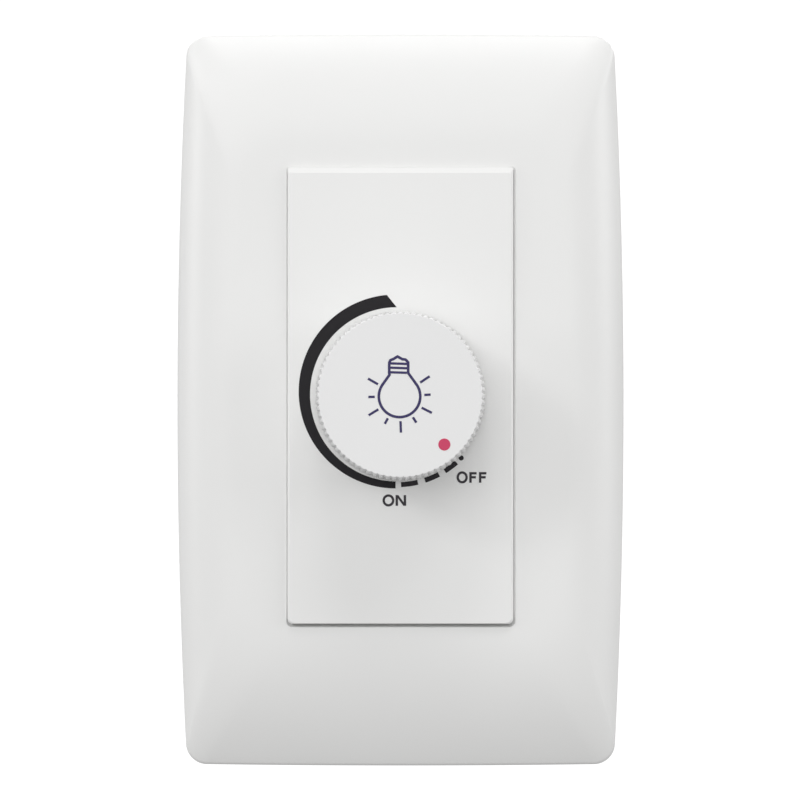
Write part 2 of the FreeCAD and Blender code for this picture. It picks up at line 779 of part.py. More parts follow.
def hexagon(across_flats, foot, height):
    """A hexagon prism from the middle of its foot along the vector of its height."""
    radius = across_flats / math.sqrt(3)
    upright = Vector(0, 0, 1)
    sideways = Vector(height).normalize().cross(upright)
    points = []
    for corner in range(6):
        angle = math.radians(60 * corner)
        points.append(foot + upright * (radius * math.cos(angle)) + sideways * (radius * math.sin(angle)))
    return Part.Face(Part.makePolygon(points + points[:1])).extrude(height)


def pot_nut():
    """Hexagon nut on the bush."""
    low = face_rise + washer_thickness
    nut = hexagon(nut_across_flats, Vector(0, -low, 0), Vector(0, -nut_height, 0))
    return nut.cut(disc(bush_radius + slip_gap, low, low + nut_height))


def lug_edges():
    """Start and end angle of the rotor's lug at rest, clockwise from straight up."""
    return off_pointer_angle - rotor_lug_angle / 2, off_pointer_angle + rotor_lug_angle / 2


def pot_can():
    """Pressed steel can, with the notch for the tongue and the turned-in stop."""
    can = disc(can_radius, track_back_rise, can_front_rise)
    can = can.cut(disc(can_radius - can_wall, track_back_rise, can_front_rise - can_wall))
    can = can.cut(disc(bush_spigot_radius + slip_gap, can_front_rise - can_wall, can_front_rise))
    notch = track_tongue_width / 2 + fit_gap
    can = can.cut(block(-notch, notch, track_back_rise, track_rise + fit_gap, -can_radius, 0))
    lug_start, lug_end = lug_edges()
    stop_start = lug_end + turn_range + stop_clearance_angle
    stop_end = lug_start + 360 - stop_clearance_angle
    stop = sector(stop_inner_radius, can_radius - can_wall / 2, rotor_back_rise, rotor_top_rise,
                  stop_start, stop_end)
    return joined(can, [stop])


def pot_rotor():
    """Moulded rotor on the shaft, with the lug that meets the stop."""
    rotor = disc(rotor_radius, rotor_back_rise, rotor_top_rise)
    lug_start, lug_end = lug_edges()
    lug = sector(rotor_radius / 2, rotor_lug_radius, rotor_back_rise, rotor_top_rise, lug_start, lug_end)
    rotor = joined(rotor, [lug])
    return rotor.cut(disc(shaft_neck_radius + slip_gap, rotor_back_rise, rotor_top_rise))


def pot_wiper():
    """Spring wiper under the rotor, with two contact fingers."""
    low = rotor_back_rise - wiper_thickness
    plate = disc(wiper_radius, low, rotor_back_rise)
    fingers = []
    for reach in (wiper_radius - wiper_finger_length, -wiper_radius):
        half = wiper_finger_width / 2
        fingers.append(block(-half, half, track_rise + 2 * running_gap, rotor_back_rise,
                             reach, reach + wiper_finger_length))
    room = disc(wiper_radius, track_rise, rotor_back_rise)
    wiper = joined(plate, [finger.common(room) for finger in fingers])
    return wiper.cut(disc(shaft_neck_radius + slip_gap, low, rotor_back_rise))


def pot_track_board():
    """Phenolic track board that closes the can, with its tongue."""
    board = disc(can_radius - can_wall - slip_gap, track_back_rise, track_rise)
    half = track_tongue_width / 2
    tongue = block(-half, half, track_back_rise, track_rise, -track_tongue_drop, 0)
    board = joined(board, [tongue])
    board = board.cut(disc(shaft_tail_radius + running_gap, track_back_rise, track_rise))
    for index in (-1, 0, 1):
        board = board.cut(pin(index * pot_pin_pitch, -pot_pin_place, track_back_rise, track_rise, slip_gap))
    return board


def pot_pins():
    """Three pins from the track board to the circuit board."""
    pins = []
    for index in (-1, 0, 1):
        x = index * pot_pin_pitch
        pins.append(pin(x, -pot_pin_place, board_back_rise - lead_tail, track_rise))
        lead_places.append((x, -pot_pin_place))
    return Part.makeCompound(pins)


def switch_case():
    """Moulded cup on the back of the can, which holds the snap switch."""
    cup = disc(switch_radius, switch_back_rise, track_back_rise)
    inner = disc(switch_radius - switch_wall, switch_back_rise + switch_wall, track_back_rise)
    cup = cup.cut(inner)
    for side in (-1, 1):
        cup = cup.cut(pin(side * contact_place_x, contact_place_z,
                          switch_back_rise, switch_back_rise + switch_wall, slip_gap))
    return cup


def switch_cam():
    """Cam on the shaft's tail that trips the switch."""
    middle = track_back_rise - (switch_depth - switch_wall) / 2
    low = middle - cam_thickness / 2
    high = middle + cam_thickness / 2
    lobe = block(-cam_lobe_width / 2, cam_lobe_width / 2, low, high, 0, cam_lobe_radius)
    lobe.rotate(Vector(0, 0, 0), Vector(0, 1, 0), lug_edges()[0])
    cam = joined(disc(cam_radius, low, high), [lobe])
    return cam.cut(disc(shaft_tail_radius + slip_gap, low, high))


def switch_contacts():
    """Two fixed contacts of the switch, each with its pin to the circuit board."""
    contacts = []
    floor = switch_back_rise + switch_wall
    for side in (-1, 1):
        x = side * contact_place_x
        half_x = contact_width / 2
        half_z = contact_thickness / 2
        post = block(x - half_x, x + half_x, floor, floor + contact_height,
                     contact_place_z - half_z, contact_place_z + half_z)
        foot = pin(x, contact_place_z, board_back_rise - lead_tail, floor + contact_height / 2)
        contacts.append(joined(post, [foot]))
        lead_places.append((x, contact_place_z))
    return Part.makeCompound(contacts)


def lead(x, z, foot_rise):
    """A straight lead from a part's foot through the circuit board."""
    lead_places.append((x, z))
    return pin(x, z, foot_rise, board_front_rise + lead_tail / 2)


def boxed_part(x_low, x_high, z, height, tall, pitch):
    """A part in a moulded box on the board's back, with two leads along Z."""
    foot = board_back_rise - stand_off
    x = (x_low + x_high) / 2
    case = block(x_low, x_high, foot - tall, foot, z - height / 2, z + height / 2)
    return joined(case, [lead(x, z + sign * pitch / 2, foot - stand_off) for sign in (-1, 1)])


def film_capacitor():
    """Suppression capacitor in a moulded box."""
    return boxed_part(film_low_x, film_high_x, film_z, film_height, film_tall, film_lead_pitch)


def timing_capacitor():
    """Small boxed capacitor of the phase timer."""
    half = timing_width / 2
    return boxed_part(timing_x - half, timing_x + half, row_z, timing_height, timing_tall, timing_lead_pitch)


def fuse():
    """Round board fuse."""
    foot = board_back_rise - stand_off
    case = disc(fuse_radius, foot - fuse_tall, foot, fuse_x, fuse_z)
    leads = [lead(fuse_x, fuse_z + sign * fuse_lead_pitch / 2, foot - stand_off) for sign in (-1, 1)]
    return joined(case, leads)


def axial_part(x, radius, length, pitch):
    """A part with a lead at each end, lying along Z in the row on the board's back."""
    axis_rise = board_back_rise - stand_off - radius
    half = lead_width / 2
    reach = pitch / 2 + half
    body = Part.makeCylinder(radius, length, Vector(x, -axis_rise, row_z - length / 2))
    wire = block(x - half, x + half, axis_rise - half, axis_rise + half, row_z - reach, row_z + reach)
    leads = [lead(x, row_z + sign * pitch / 2, axis_rise - half) for sign in (-1, 1)]
    return joined(body, [wire] + leads)


def resistors():
    """The axial resistors, side by side."""
    first = row_low_x + row_gap + resistor_radius
    places = [first + index * (row_gap + 2 * resistor_radius) for index in range(resistor_count)]
    return Part.makeCompound([axial_part(x, resistor_radius, resistor_length, resistor_lead_pitch)
                              for x in places])


def diac():
    """Trigger diode in glass."""
    return axial_part(diac_x, diac_radius, diac_length, diac_lead_pitch)


def along_x(radius, x_low, x_high):
    """A cylinder along X on the axis of the heat sink's screw."""
    return Part.makeCylinder(radius, x_high - x_low, Vector(x_low, -sink_screw_rise, sink_z), Vector(1, 0, 0))


def heat_sink():
    """Aluminium channel that cools the triac."""
    high = board_back_rise - sink_board_gap
    low = high - sink_tall
    channel = block(sink_x - sink_leg, sink_x + sink_wall, low, high, sink_low_z, sink_high_z)
    channel = channel.cut(block(sink_x - sink_leg, sink_x, low, high,
                                sink_low_z + sink_wall, sink_high_z - sink_wall))
    return channel.cut(along_x(sink_screw_radius + fit_gap, sink_x, sink_x + sink_wall))


def triac():
    """Triac: moulded body, metal tab with its hole, three leads."""
    foot = board_back_rise - stand_off
    half = triac_width / 2
    tab_x = sink_x - triac_tab_thickness
    body_x = sink_x - triac_body_thickness
    tab = block(tab_x, sink_x, foot - triac_tall, foot, sink_z - half, sink_z + half)
    body = block(body_x, sink_x, foot - triac_body_tall, foot, sink_z - half, sink_z + half)
    lead_x = (body_x + sink_x) / 2
    leads = [lead(lead_x, sink_z + index * triac_lead_pitch, foot - stand_off) for index in (-1, 0, 1)]
    return joined(tab, [body] + leads).cut(along_x(triac_hole_radius, tab_x, sink_x))


def heat_sink_screw():
    """Screw that holds the triac to the channel."""
    seat = sink_x - triac_tab_thickness
    head = along_x(sink_screw_head_radius, seat - sink_screw_head_height, seat)
    return joined(head, [along_x(sink_screw_radius, seat, sink_x + sink_wall + sink_nut_height + fit_gap)])


def heat_sink_nut():
    """Nut of the heat sink's screw."""
    low = sink_x + sink_wall
    nut = hexagon(sink_nut_flats, Vector(low, -sink_screw_rise, sink_z), Vector(sink_nut_height, 0, 0))
    return nut.cut(along_x(sink_screw_radius + slip_gap, low, low + sink_nut_height))


def choke_core():
    """Ferrite ring of the choke."""
    high = choke_foot_rise - choke_wire
    low = high - choke_tall
    ring = disc(choke_outer, low, high, choke_x, choke_z)
    return ring.cut(disc(choke_inner, low, high, choke_x, choke_z))


def choke_winding():
    """Copper winding: turns that touch in the ring's hole, with two leads."""
    high = choke_foot_rise
    low = high - choke_tall - 2 * choke_wire
    half = choke_wire / 2
    near = math.sqrt((choke_inner - slip_gap) ** 2 - half ** 2)
    far = choke_outer + slip_gap
    step = choke_wound_angle / choke_turns
    turns = []
    for index in range(choke_turns):
        turn = block(-half, half, low - slip_gap, high + slip_gap, near - choke_wire, far + choke_wire)
        room = block(-half, half, low + choke_wire - slip_gap, high - choke_wire + slip_gap, near, far)
        turn = turn.cut(room)
        turn.rotate(Vector(0, 0, 0), Vector(0, 1, 0), index * step)
        turn.translate(Vector(choke_x, 0, choke_z))
        turns.append(turn)
    leads = []
    for angle in (0, math.radians((choke_turns - 1) * step)):
        reach = far + half
        leads.append(lead(choke_x + reach * math.sin(angle), choke_z + reach * math.cos(angle),
                          high - choke_wire))
    return joined(turns[0], turns[1:] + leads)


def clamp_upright(radius, x, z_low, z_high):
    """A cylinder upright along Z on the axis of a terminal's screw."""
    return Part.makeCylinder(radius, z_high - z_low, Vector(x, -clamp_screw_rise, z_low))


def terminal_clamp(x):
    """One brass terminal: wire bore from the rear, screw hole from below, leg to the board."""
    rear = housing_floor_rise + terminal_rear_gap
    front = rear + terminal_length
    half_x = terminal_width / 2
    clamp = block(x - half_x, x + half_x, rear, front, terminal_seat_z, terminal_top_z)
    clamp = joined(clamp, [lead(x, terminal_top_z - lead_width / 2, front - stand_off)])
    clamp = clamp.cut(disc(wire_bore_radius, rear, rear + wire_bore_depth, x, terminal_axis_z))
    return clamp.cut(clamp_upright(clamp_screw_radius + slip_gap, x, terminal_seat_z, terminal_axis_z))


def terminal_clamps():
    """The two brass terminals."""
    return Part.makeCompound([terminal_clamp(x) for x in (-terminal_place, terminal_place)])


def terminal_screw(x):
    """One slotted terminal screw, driven from below."""
    foot_z = terminal_seat_z - clamp_screw_head_height
    head = clamp_upright(clamp_screw_head_radius, x, foot_z, terminal_seat_z)
    shank = clamp_upright(clamp_screw_radius, x, terminal_seat_z, terminal_axis_z - wire_bore_radius)
    half = screw_drive_width / 2
    slot = block(x - clamp_screw_head_radius, x + clamp_screw_head_radius,
                 clamp_screw_rise - half, clamp_screw_rise + half, foot_z, foot_z + screw_drive_depth)
    return joined(head, [shank]).cut(slot)


def terminal_screws():
    """The two terminal screws."""
    return Part.makeCompound([terminal_screw(x) for x in (-terminal_place, terminal_place)])


def circuit_board():
    """Circuit board with a hole for every lead."""
    half_x = board_half_width
    half_z = board_half_height
    board = block(-half_x, half_x, board_back_rise, board_front_rise, -half_z, half_z)
    return board.cut([pin(x, z, board_back_rise, board_front_rise, lead_clearance) for x, z in lead_places])


# The circuit board comes last because the other pieces give it its holes.
nodes = [
    wall_plate, mounting_frame, module_cover, module_housing, housing_screws,
    knob, pot_shaft, pot_retaining_ring, pot_bush, pot_washer, pot_nut, pot_can,
    pot_rotor, pot_wiper, pot_track_board, pot_pins, switch_case, switch_cam, switch_contacts,
    triac, heat_sink, heat_sink_screw, heat_sink_nut, choke_core, choke_winding,
    film_capacitor, timing_capacitor, diac, resistors, fuse,
    terminal_clamps, terminal_screws, circuit_board,
]

os.makedirs("parts", exist_ok=True)
for make in nodes:
    make().exportStep(os.path.join("parts", make.__name__ + ".step"))
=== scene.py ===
import math
import bmesh
import bpy
from mathutils import Matrix, Vector


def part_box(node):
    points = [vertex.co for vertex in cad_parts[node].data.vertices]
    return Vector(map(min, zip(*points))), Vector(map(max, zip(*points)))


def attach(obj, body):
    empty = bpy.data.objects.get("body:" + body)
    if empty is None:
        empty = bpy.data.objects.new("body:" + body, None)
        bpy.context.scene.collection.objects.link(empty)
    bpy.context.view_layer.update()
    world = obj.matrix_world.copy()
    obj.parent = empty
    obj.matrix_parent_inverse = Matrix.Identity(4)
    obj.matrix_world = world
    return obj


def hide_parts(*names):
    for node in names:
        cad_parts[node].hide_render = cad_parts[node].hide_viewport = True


# Looks of the rotary dimmer switch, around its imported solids.
# Sizes are in millimetres and are turned to metres where a mesh is made.
# +X is the viewer's right, +Z is up, and the front looks towards -Y.
# A "rise" is a height in front of the wall plane, so y = -rise.

MILLIMETRE = 0.001

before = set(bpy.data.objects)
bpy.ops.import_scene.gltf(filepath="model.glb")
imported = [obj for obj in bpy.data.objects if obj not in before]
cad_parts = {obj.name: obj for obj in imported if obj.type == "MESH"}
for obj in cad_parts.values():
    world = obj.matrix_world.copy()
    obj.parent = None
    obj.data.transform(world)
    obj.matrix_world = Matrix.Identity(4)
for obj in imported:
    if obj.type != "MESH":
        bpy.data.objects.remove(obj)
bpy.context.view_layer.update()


def solid_box(node):
    """Lowest and highest corner of a node, in millimetres."""
    low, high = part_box(node)
    return low / MILLIMETRE, high / MILLIMETRE


plate_low, plate_high = solid_box("wall_plate")
knob_low, knob_high = solid_box("knob")
cover_low = solid_box("module_cover")[0]
ring_low = solid_box("pot_retaining_ring")[0]
shaft_high = solid_box("pot_shaft")[1]
seat_high = solid_box("mounting_frame")[1]

# Cover plate, as the solid has it
plate_half_width = plate_high.x
plate_half_height = (plate_high.z - plate_low.z) / 2
plate_middle_z = (plate_high.z + plate_low.z) / 2
plate_field_rise = -plate_low.y
plate_rim_rise = 3.8
plate_side_bulge = 1.6
plate_end_bulge = 0.3
plate_rim_corner = 3.4
plate_field_corner = 9.0
plate_wall = 1.8
plate_side_roll = 9.0
plate_top_slope = 18.0
plate_bottom_slope = 21.5
plate_collar_wall = 1.3
plate_rim_rounding = 0.55
plate_foot_rounding = 0.3

# The plate's ribs, and the hooks that reach behind the frame's catches
rib_thickness = 1.0
rib_place = 22.0
hook_width = 8.0
hook_place = 17.0
hook_thickness = 1.5
hook_barb_height = 1.0
hook_barb_edge = 0.3
hook_chamfer = 0.25
hook_gap = 0.2
hook_reach = 0.8
hook_lead_in = 0.6
catch_top = 3.2
catch_height = 1.0

# The plate's window, with the gap that the solid has round the face
window_gap = 0.25
window_top_corner = 0.45
window_bottom_corner = 0.9
# The face sits high and a little to the left in its window, as it does in the photo.
# Each is given for the right, the top, the left and the bottom of the window.
window_gaps = (0.25, 0.27, 0.14, 0.45)
window_roundings = (0.22, 0.05, 0.12, 0.25)
# A shallow ledge inside the window keeps the gap round the face from looking black
window_ledge_gaps = (0.03, 0.22, 0.03, 0.03)
window_ledge_depths = (0.12, 0.06, 0.06, 0.7)
# How far from a corner of the face the values of its two sides blend
corner_blend = 1.0

# Dimmer face
face_half_width = 18.1
face_half_height = 36.5
face_rise = -cover_low.y
face_edge_chamfer = 0.35
face_top_chamfer_width = 0.95
face_top_lift = 0.22
face_bottom_chamfer_width = 0.16
face_rim_rounding = 0.2
face_edge_rounding = 0.12
face_bottom_rim_share = 0.35
face_rim_steps = 5
# How far in from the face's edge its front rim is reshaped
rim_band = 2.0
collar_rise = 4.9

# Rounding of the solids that stay in shape, with the angles in degrees
case_edge_rounding = 0.15
screw_edge_rounding = 0.06
edge_steps = 2
# Distances within which points count as level, and as one point
slack = 0.02
merge_distance = 0.0005
flat_angle = 0.5
sharp_angle = 32
large_face_weight = 100

# Knob
knob_teeth = 80
points_per_tooth = 10
knob_tooth_depth = 0.35
knob_groove_half_width = 0.34
# How much of its depth the groove has at the top of the taper
knob_top_depth_share = 0.8
knob_base_radius = 13.6
knob_face_radius = 13.05
knob_base_rise = -knob_high.y
knob_face_rise = -knob_low.y
knob_wall = 1.6
knob_face_thickness = 2.0
knob_edge_height = 0.3
knob_edge_inset = 0.2
# How much of its depth the groove loses over the rounded edge
knob_edge_fade = 0.6
knob_edge_steps = 6
knob_inner_chamfer = 0.15
knob_boss_radius = 5.2
knob_bore_gap = 0.02
knob_ring_gap = 0.3
knob_rib_count = 6
knob_rib_thickness = 1.2
knob_rib_setback = 1.2
knob_ceiling_lap = 0.5
# Loops of the flat ceiling inside, from its middle out, and of the tapered side, from its foot up
knob_ceiling_shares = (0.5, 1.0)
knob_side_shares = (0.25, 0.5, 0.75, 1.0)
# Loops of the rounded foot: lift above the base, inset from the base radius, share of the groove's depth
knob_foot_loops = ((0.0, 0.2, 0.9), (0.06, 0.06, 1.0), (0.2, 0.01, 1.0))
# Loops of the flat face: inset from the rounded edge, share of the groove's depth
knob_face_loops = ((0.05, 0.1), (0.15, 0.0), (0.5, 0.0), (3.0, 0.0), (7.0, 0.0))

# Prints: where each stands, measured from the knob's axis, angles in degrees from +X towards +Z
ink_height = 0.03
ink_sink = 0.01
# Where prints cross, one lies this much over the other, so that no two faces share a plane
ink_lap = 0.002
face_ink_low = face_rise - ink_sink
face_ink_high = face_rise + ink_height
knob_ink_low = knob_face_rise - ink_sink
knob_ink_high = knob_face_rise + ink_height
# Keeps the mitre of a sharp bend short
bend_limit = 0.3
round_points = 40
arc_outer_centre = (-0.765, 0.75)
arc_outer_radius = 15.53
arc_inner_centre = (-0.52, 0.29)
arc_inner_radius = 13.96
arc_low_x = -0.78
arc_top_outer = (-2.19, 16.3)
arc_top_inner = (-0.6, 14.0)
arc_steps = 120
dash_centre = (-0.554, 0.317)
dash_radius = 14.5
dash_width = 0.8
# The dashes and the dot are counted from straight down towards the right
dash_spans = ((2.6, 13.3), (18.0, 27.6), (31.9, 41.0))
dash_steps = 12
off_dot_angle = 45.2
off_dot_radius = 0.41
letter_stroke = 0.38
letter_height = 1.7
round_letter_overshoot = 0.12
diagonal_share = 1.15
middle_arm_share = 0.9
middle_arm_lift = 0.02
# Each letter with its left edge and its width
on_letters = (("O", -2.87, 1.9), ("N", -0.77, 1.68))
on_centre_z = -16.7
off_letters = (("O", 8.99, 1.8), ("F", 11.04, 1.16), ("F", 12.58, 1.2))
off_centre_z = -13.01
sign_stroke = 0.42
sign_thin_share = 0.9
globe_centre = (-0.1, -0.2)
globe_radius = 3.26
globe_start_angle = 146 - 360
globe_end_angle = 38
globe_steps = 64
cap_outline = ((1.32, 3.4), (1.26, 3.6), (1.26, 5.16), (0.84, 5.6), (0.33, 5.66), (-0.42, 6.08),
               (-1.08, 5.68), (-1.54, 5.5), (-1.73, 5.1), (-1.73, 3.5), (-1.68, 3.2))
thread_heights = (4.96, 4.28, 3.56)
thread_bends = ((-1.53, 0.04), (-0.2, 0.0), (1.06, -0.05))
ray_count = 9
ray_first_angle = 150.6
ray_step = 30.4
ray_start = 3.9
ray_long_end = 5.7
ray_short_end = 4.9
pointer_radius = 10.42
pointer_angle = -48.2
pointer_dot_radius = 0.95

# How many points each quarter of a loop has
side_points = 26
corner_points = 12
end_points = 18

# How many steps roundings and slopes have
rounding_steps = 4
slope_steps = 30
hollow_steps = 8
rib_steps = 6


# Loops of points

def mirrored(quarter, middle_z=0.0):
    """A full loop from its quarter, which runs from the right-hand middle to the top middle."""
    loop = list(quarter)
    loop += [(-x, z) for x, z in reversed(quarter[:-1])]
    loop += [(-x, -z) for x, z in quarter[1:]]
    loop += [(x, -z) for x, z in reversed(quarter[1:-1])]
    return [(x, z + middle_z) for x, z in loop]


def arc_points(centre, radius, start, end, count):
    """Points along an arc, angles in radians from +X towards +Z, both ends among them."""
    step = (end - start) / count
    return [(centre[0] + radius * math.cos(start + step * index),
             centre[1] + radius * math.sin(start + step * index)) for index in range(count + 1)]


def rectangle_quarter(half_width, half_height, corner):
    """A quarter of a rectangle with a rounded corner."""
    side_end = half_height - corner
    end_start = half_width - corner
    points = [(half_width, side_end * index / side_points) for index in range(side_points)]
    points += arc_points((end_start, side_end), corner, 0, math.pi / 2, corner_points)
    points += [(end_start * (1 - index / end_points), half_height) for index in range(1, end_points + 1)]
    return points


def window_loop(right, top, left, bottom):
    """A loop round the face, with a gap of its own on each side."""
    corners = ((right, top, window_top_corner), (left, top, window_top_corner),
               (left, bottom, window_bottom_corner), (right, bottom, window_bottom_corner))
    quarters = [rectangle_quarter(face_half_width + side, face_half_height + end, corner)
                for side, end, corner in corners]
    loop = list(quarters[0])
    loop += [(-x, z) for x, z in reversed(quarters[1][:-1])]
    loop += [(-x, -z) for x, z in quarters[2][1:]]
    loop += [(x, -z) for x, z in reversed(quarters[3][1:-1])]
    return loop


def by_side(loop, right, top, left, bottom):
    """The value of the side that each point of a loop round the face stands on, blended at corners."""
    values = []
    for x, z in loop:
        side_share = max(0.0, abs(x) - face_half_width + corner_blend)
        end_share = max(0.0, abs(z) - face_half_height + corner_blend)
        side = right if x > 0 else left
        end = top if z > 0 else bottom
        values.append((side * side_share + end * end_share) / (side_share + end_share))
    return values


def barrel_quarter(half_width, half_height, corner):
    """A quarter of the plate's outline: a bowed side, a tangent corner and a bowed end."""
    side_radius = (half_height ** 2 + plate_side_bulge ** 2) / (2 * plate_side_bulge)
    end_radius = (half_width ** 2 + plate_end_bulge ** 2) / (2 * plate_end_bulge)
    side_centre = Vector((half_width - side_radius, 0))
    end_centre = Vector((0, half_height - end_radius))
    side_reach = side_radius - corner
    end_reach = end_radius - corner
    between = end_centre - side_centre
    along = (side_reach ** 2 - end_reach ** 2 + between.length_squared) / (2 * between.length)
    across = math.sqrt(side_reach ** 2 - along ** 2)
    unit = between.normalized()
    normal = Vector((-unit.y, unit.x))
    if normal.x + normal.y < 0:
        normal = -normal
    middle = side_centre + unit * along + normal * across
    from_side = middle - side_centre
    from_end = middle - end_centre
    side_angle = math.atan2(from_side.y, from_side.x)
    end_angle = math.atan2(from_end.y, from_end.x)
    points = arc_points(side_centre, side_radius, 0, side_angle, side_points)[:-1]
    points += arc_points(middle, corner, side_angle, end_angle, corner_points)
    points += arc_points(end_centre, end_radius, end_angle, math.pi / 2, end_points)[1:]
    return points


def circle_quarter(radius):
    """A quarter of a circle, with as many points as the other quarters."""
    return arc_points((0, 0), radius, 0, math.pi / 2, side_points + corner_points + end_points)


def at_rise(loop, rise):
    """A flat loop set at a rise."""
    return [Vector((x, -rise, z)) for x, z in loop]


def rounded_over(before, edge, after, reaches):
    """Loops that round an edge between the loops on its two sides."""
    loops = [[] for _ in range(rounding_steps + 1)]
    for start, corner, end, reach in zip(before, edge, after, reaches):
        near = corner + (start - corner).normalized() * reach
        far = corner + (end - corner).normalized() * reach
        for index, loop in enumerate(loops):
            share = index / rounding_steps
            loop.append(near * (1 - share) ** 2 + corner * 2 * share * (1 - share) + far * share ** 2)
    return loops


def shell_loops(profile):
    """All loops of a closed ring of edges, given as (loop, rounding reach or one reach for each point)."""
    loops = []
    for index, (loop, reach) in enumerate(profile):
        if reach == 0:
            loops.append(loop)
            continue
        before = profile[index - 1][0]
        after = profile[(index + 1) % len(profile)][0]
        reaches = reach if isinstance(reach, list) else [reach] * len(loop)
        loops.extend(rounded_over(before, loop, after, reaches))
    return loops


# Meshes

def add_loops(shape, loops, closed):
    """Adds a solid made of loops: closed into a ring, or with both ends filled."""
    rows = [[shape.verts.new(point * MILLIMETRE) for point in loop] for loop in loops]
    pairs = list(zip(rows, rows[1:]))
    if closed:
        pairs.append((rows[-1], rows[0]))
    for low, high in pairs:
        for index in range(len(low)):
            after = (index + 1) % len(low)
            shape.faces.new((low[index], low[after], high[after], high[index]))
    if not closed:
        for row in (rows[0], rows[-1]):
            middle = shape.verts.new(sum((v.co for v in row), Vector()) / len(row))
            for index in range(len(row)):
                shape.faces.new((row[index], row[(index + 1) % len(row)], middle))


def add_block(shape, x_range, rise_range, z_range, turn=0.0):
    """Adds a block between ranges, turned about the knob's axis."""
    size = [max(pair) - min(pair) for pair in (x_range, rise_range, z_range)]
    middle = Vector((sum(x_range) / 2, -sum(rise_range) / 2, sum(z_range) / 2))
    matrix = (Matrix.Rotation(turn, 4, "Y") @ Matrix.Translation(middle * MILLIMETRE)
              @ Matrix.Diagonal(Vector(size) * MILLIMETRE).to_4x4())
    bmesh.ops.create_cube(shape, size=1.0, matrix=matrix)


def add_slab(shape, outline, low_end, high_end, placed):
    """Adds a slab with a flat outline between two ends; the function places each of its points."""
    low, high = [[shape.verts.new(placed(across, along, end) * MILLIMETRE) for across, along in outline]
                 for end in (low_end, high_end)]
    for index in range(len(outline)):
        after = (index + 1) % len(outline)
        shape.faces.new((low[index], low[after], high[after], high[index]))
    shape.faces.new(low)
    shape.faces.new(high)


def add_prism(shape, outline, low, high):
    """Adds a prism on an outline of (x, z), between two rises."""
    add_slab(shape, outline, low, high, lambda x, z, rise: Vector((x, -rise, z)))


def add_weighted_normals(piece):
    """Lets large flat faces keep their shading next to rounded edges."""
    weighted = piece.modifiers.new("weighted_normals", "WEIGHTED_NORMAL")
    weighted.keep_sharp = True
    weighted.weight = large_face_weight


def finished_piece(name, shape, body, material, smooth=True):
    """Turns the shape into a piece that rides on a body and takes its finish from a slot."""
    bmesh.ops.recalc_face_normals(shape, faces=shape.faces)
    mesh = bpy.data.meshes.new(name)
    shape.to_mesh(mesh)
    shape.free()
    if smooth:
        mesh.shade_smooth()
    piece = bpy.data.objects.new(name, mesh)
    bpy.context.scene.collection.objects.link(piece)
    piece.data.materials.append(material)
    if smooth:
        add_weighted_normals(piece)
    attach(piece, body)
    return piece


def weigh_front_rim(shape):
    """Shapes the face's front rim, broad at the top and narrow at the bottom, and marks it for rounding."""
    weights = shape.edges.layers.float.new("bevel_weight_edge")
    front = min(v.co.y for v in shape.verts)
    even = slack * MILLIMETRE
    depth = (face_edge_chamfer + slack) * MILLIMETRE
    band_x = (face_half_width - rim_band) * MILLIMETRE
    band_z = (face_half_height - rim_band) * MILLIMETRE
    for edge in shape.edges:
        ends = [v.co for v in edge.verts]
        level = abs(ends[0].y - ends[1].y) < even and ends[0].y < front + depth
        outer = all(abs(p.x) > band_x or abs(p.z) > band_z for p in ends)
        low_end = all(p.z < -band_z for p in ends)
        edge[weights] = (face_bottom_rim_share if low_end else 1.0) if level and outer else 0.0
    for vertex in shape.verts:
        if vertex.co.y < front + depth and vertex.co.z > band_z:
            vertex.co.z += face_top_lift * MILLIMETRE
        if vertex.co.y > front + even:
            continue
        if vertex.co.z > band_z:
            vertex.co.z -= (face_top_chamfer_width - face_edge_chamfer) * MILLIMETRE
        if vertex.co.z < -band_z:
            vertex.co.z += (face_bottom_chamfer_width - face_edge_chamfer) * MILLIMETRE


def softened(node, name, material, reach, front_reach=0.0):
    """A copy of a still solid, its edges rounded as a mould or a tool leaves them, its front rim more."""
    shape = bmesh.new()
    shape.from_mesh(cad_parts[node].data)
    bmesh.ops.remove_doubles(shape, verts=shape.verts, dist=merge_distance * MILLIMETRE)
    bmesh.ops.dissolve_limit(shape, angle_limit=math.radians(flat_angle), verts=shape.verts,
                             edges=shape.edges)
    if front_reach:
        weigh_front_rim(shape)
    piece = finished_piece(name, shape, "dimmer_body", material, smooth=False)
    piece.data.shade_smooth()
    if front_reach:
        rim = piece.modifiers.new("rim_rounding", "BEVEL")
        rim.width = front_reach * MILLIMETRE
        rim.segments = face_rim_steps
        rim.limit_method = "WEIGHT"
    bevel = piece.modifiers.new("edge_rounding", "BEVEL")
    bevel.width = reach * MILLIMETRE
    bevel.segments = edge_steps
    bevel.limit_method = "ANGLE"
    bevel.angle_limit = math.radians(sharp_angle)
    bevel.use_clamp_overlap = True
    add_weighted_normals(piece)
    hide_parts(node)


# Materials

def colour(code):
    """An sRGB hex value as the linear colour that a shader takes."""
    channels = [int(code[index:index + 2], 16) / 255 for index in (1, 3, 5)]
    linear = [c / 12.92 if c <= 0.04045 else ((c + 0.055) / 1.055) ** 2.4 for c in channels]
    return (*linear, 1.0)


def per_metre(size):
    """The texture scale that gives a pattern of this size in millimetres."""
    return 1.0 / (size * MILLIMETRE)


def add_node(tree, kind, settings=None, links=None):
    """Adds one node, with its settings and the sockets that feed it, each by its name or number."""
    node = tree.nodes.new(kind)
    for key, value in (settings or {}).items():
        if isinstance(key, str) and hasattr(node, key):
            setattr(node, key, value)
        else:
            node.inputs[key].default_value = value
    for key, socket in (links or {}).items():
        tree.links.new(socket, node.inputs[key])
    return node


# The colour sockets of the Mix node, by number, because its other kinds use the same names
mix_first = 6
mix_second = 7
mix_result = 2


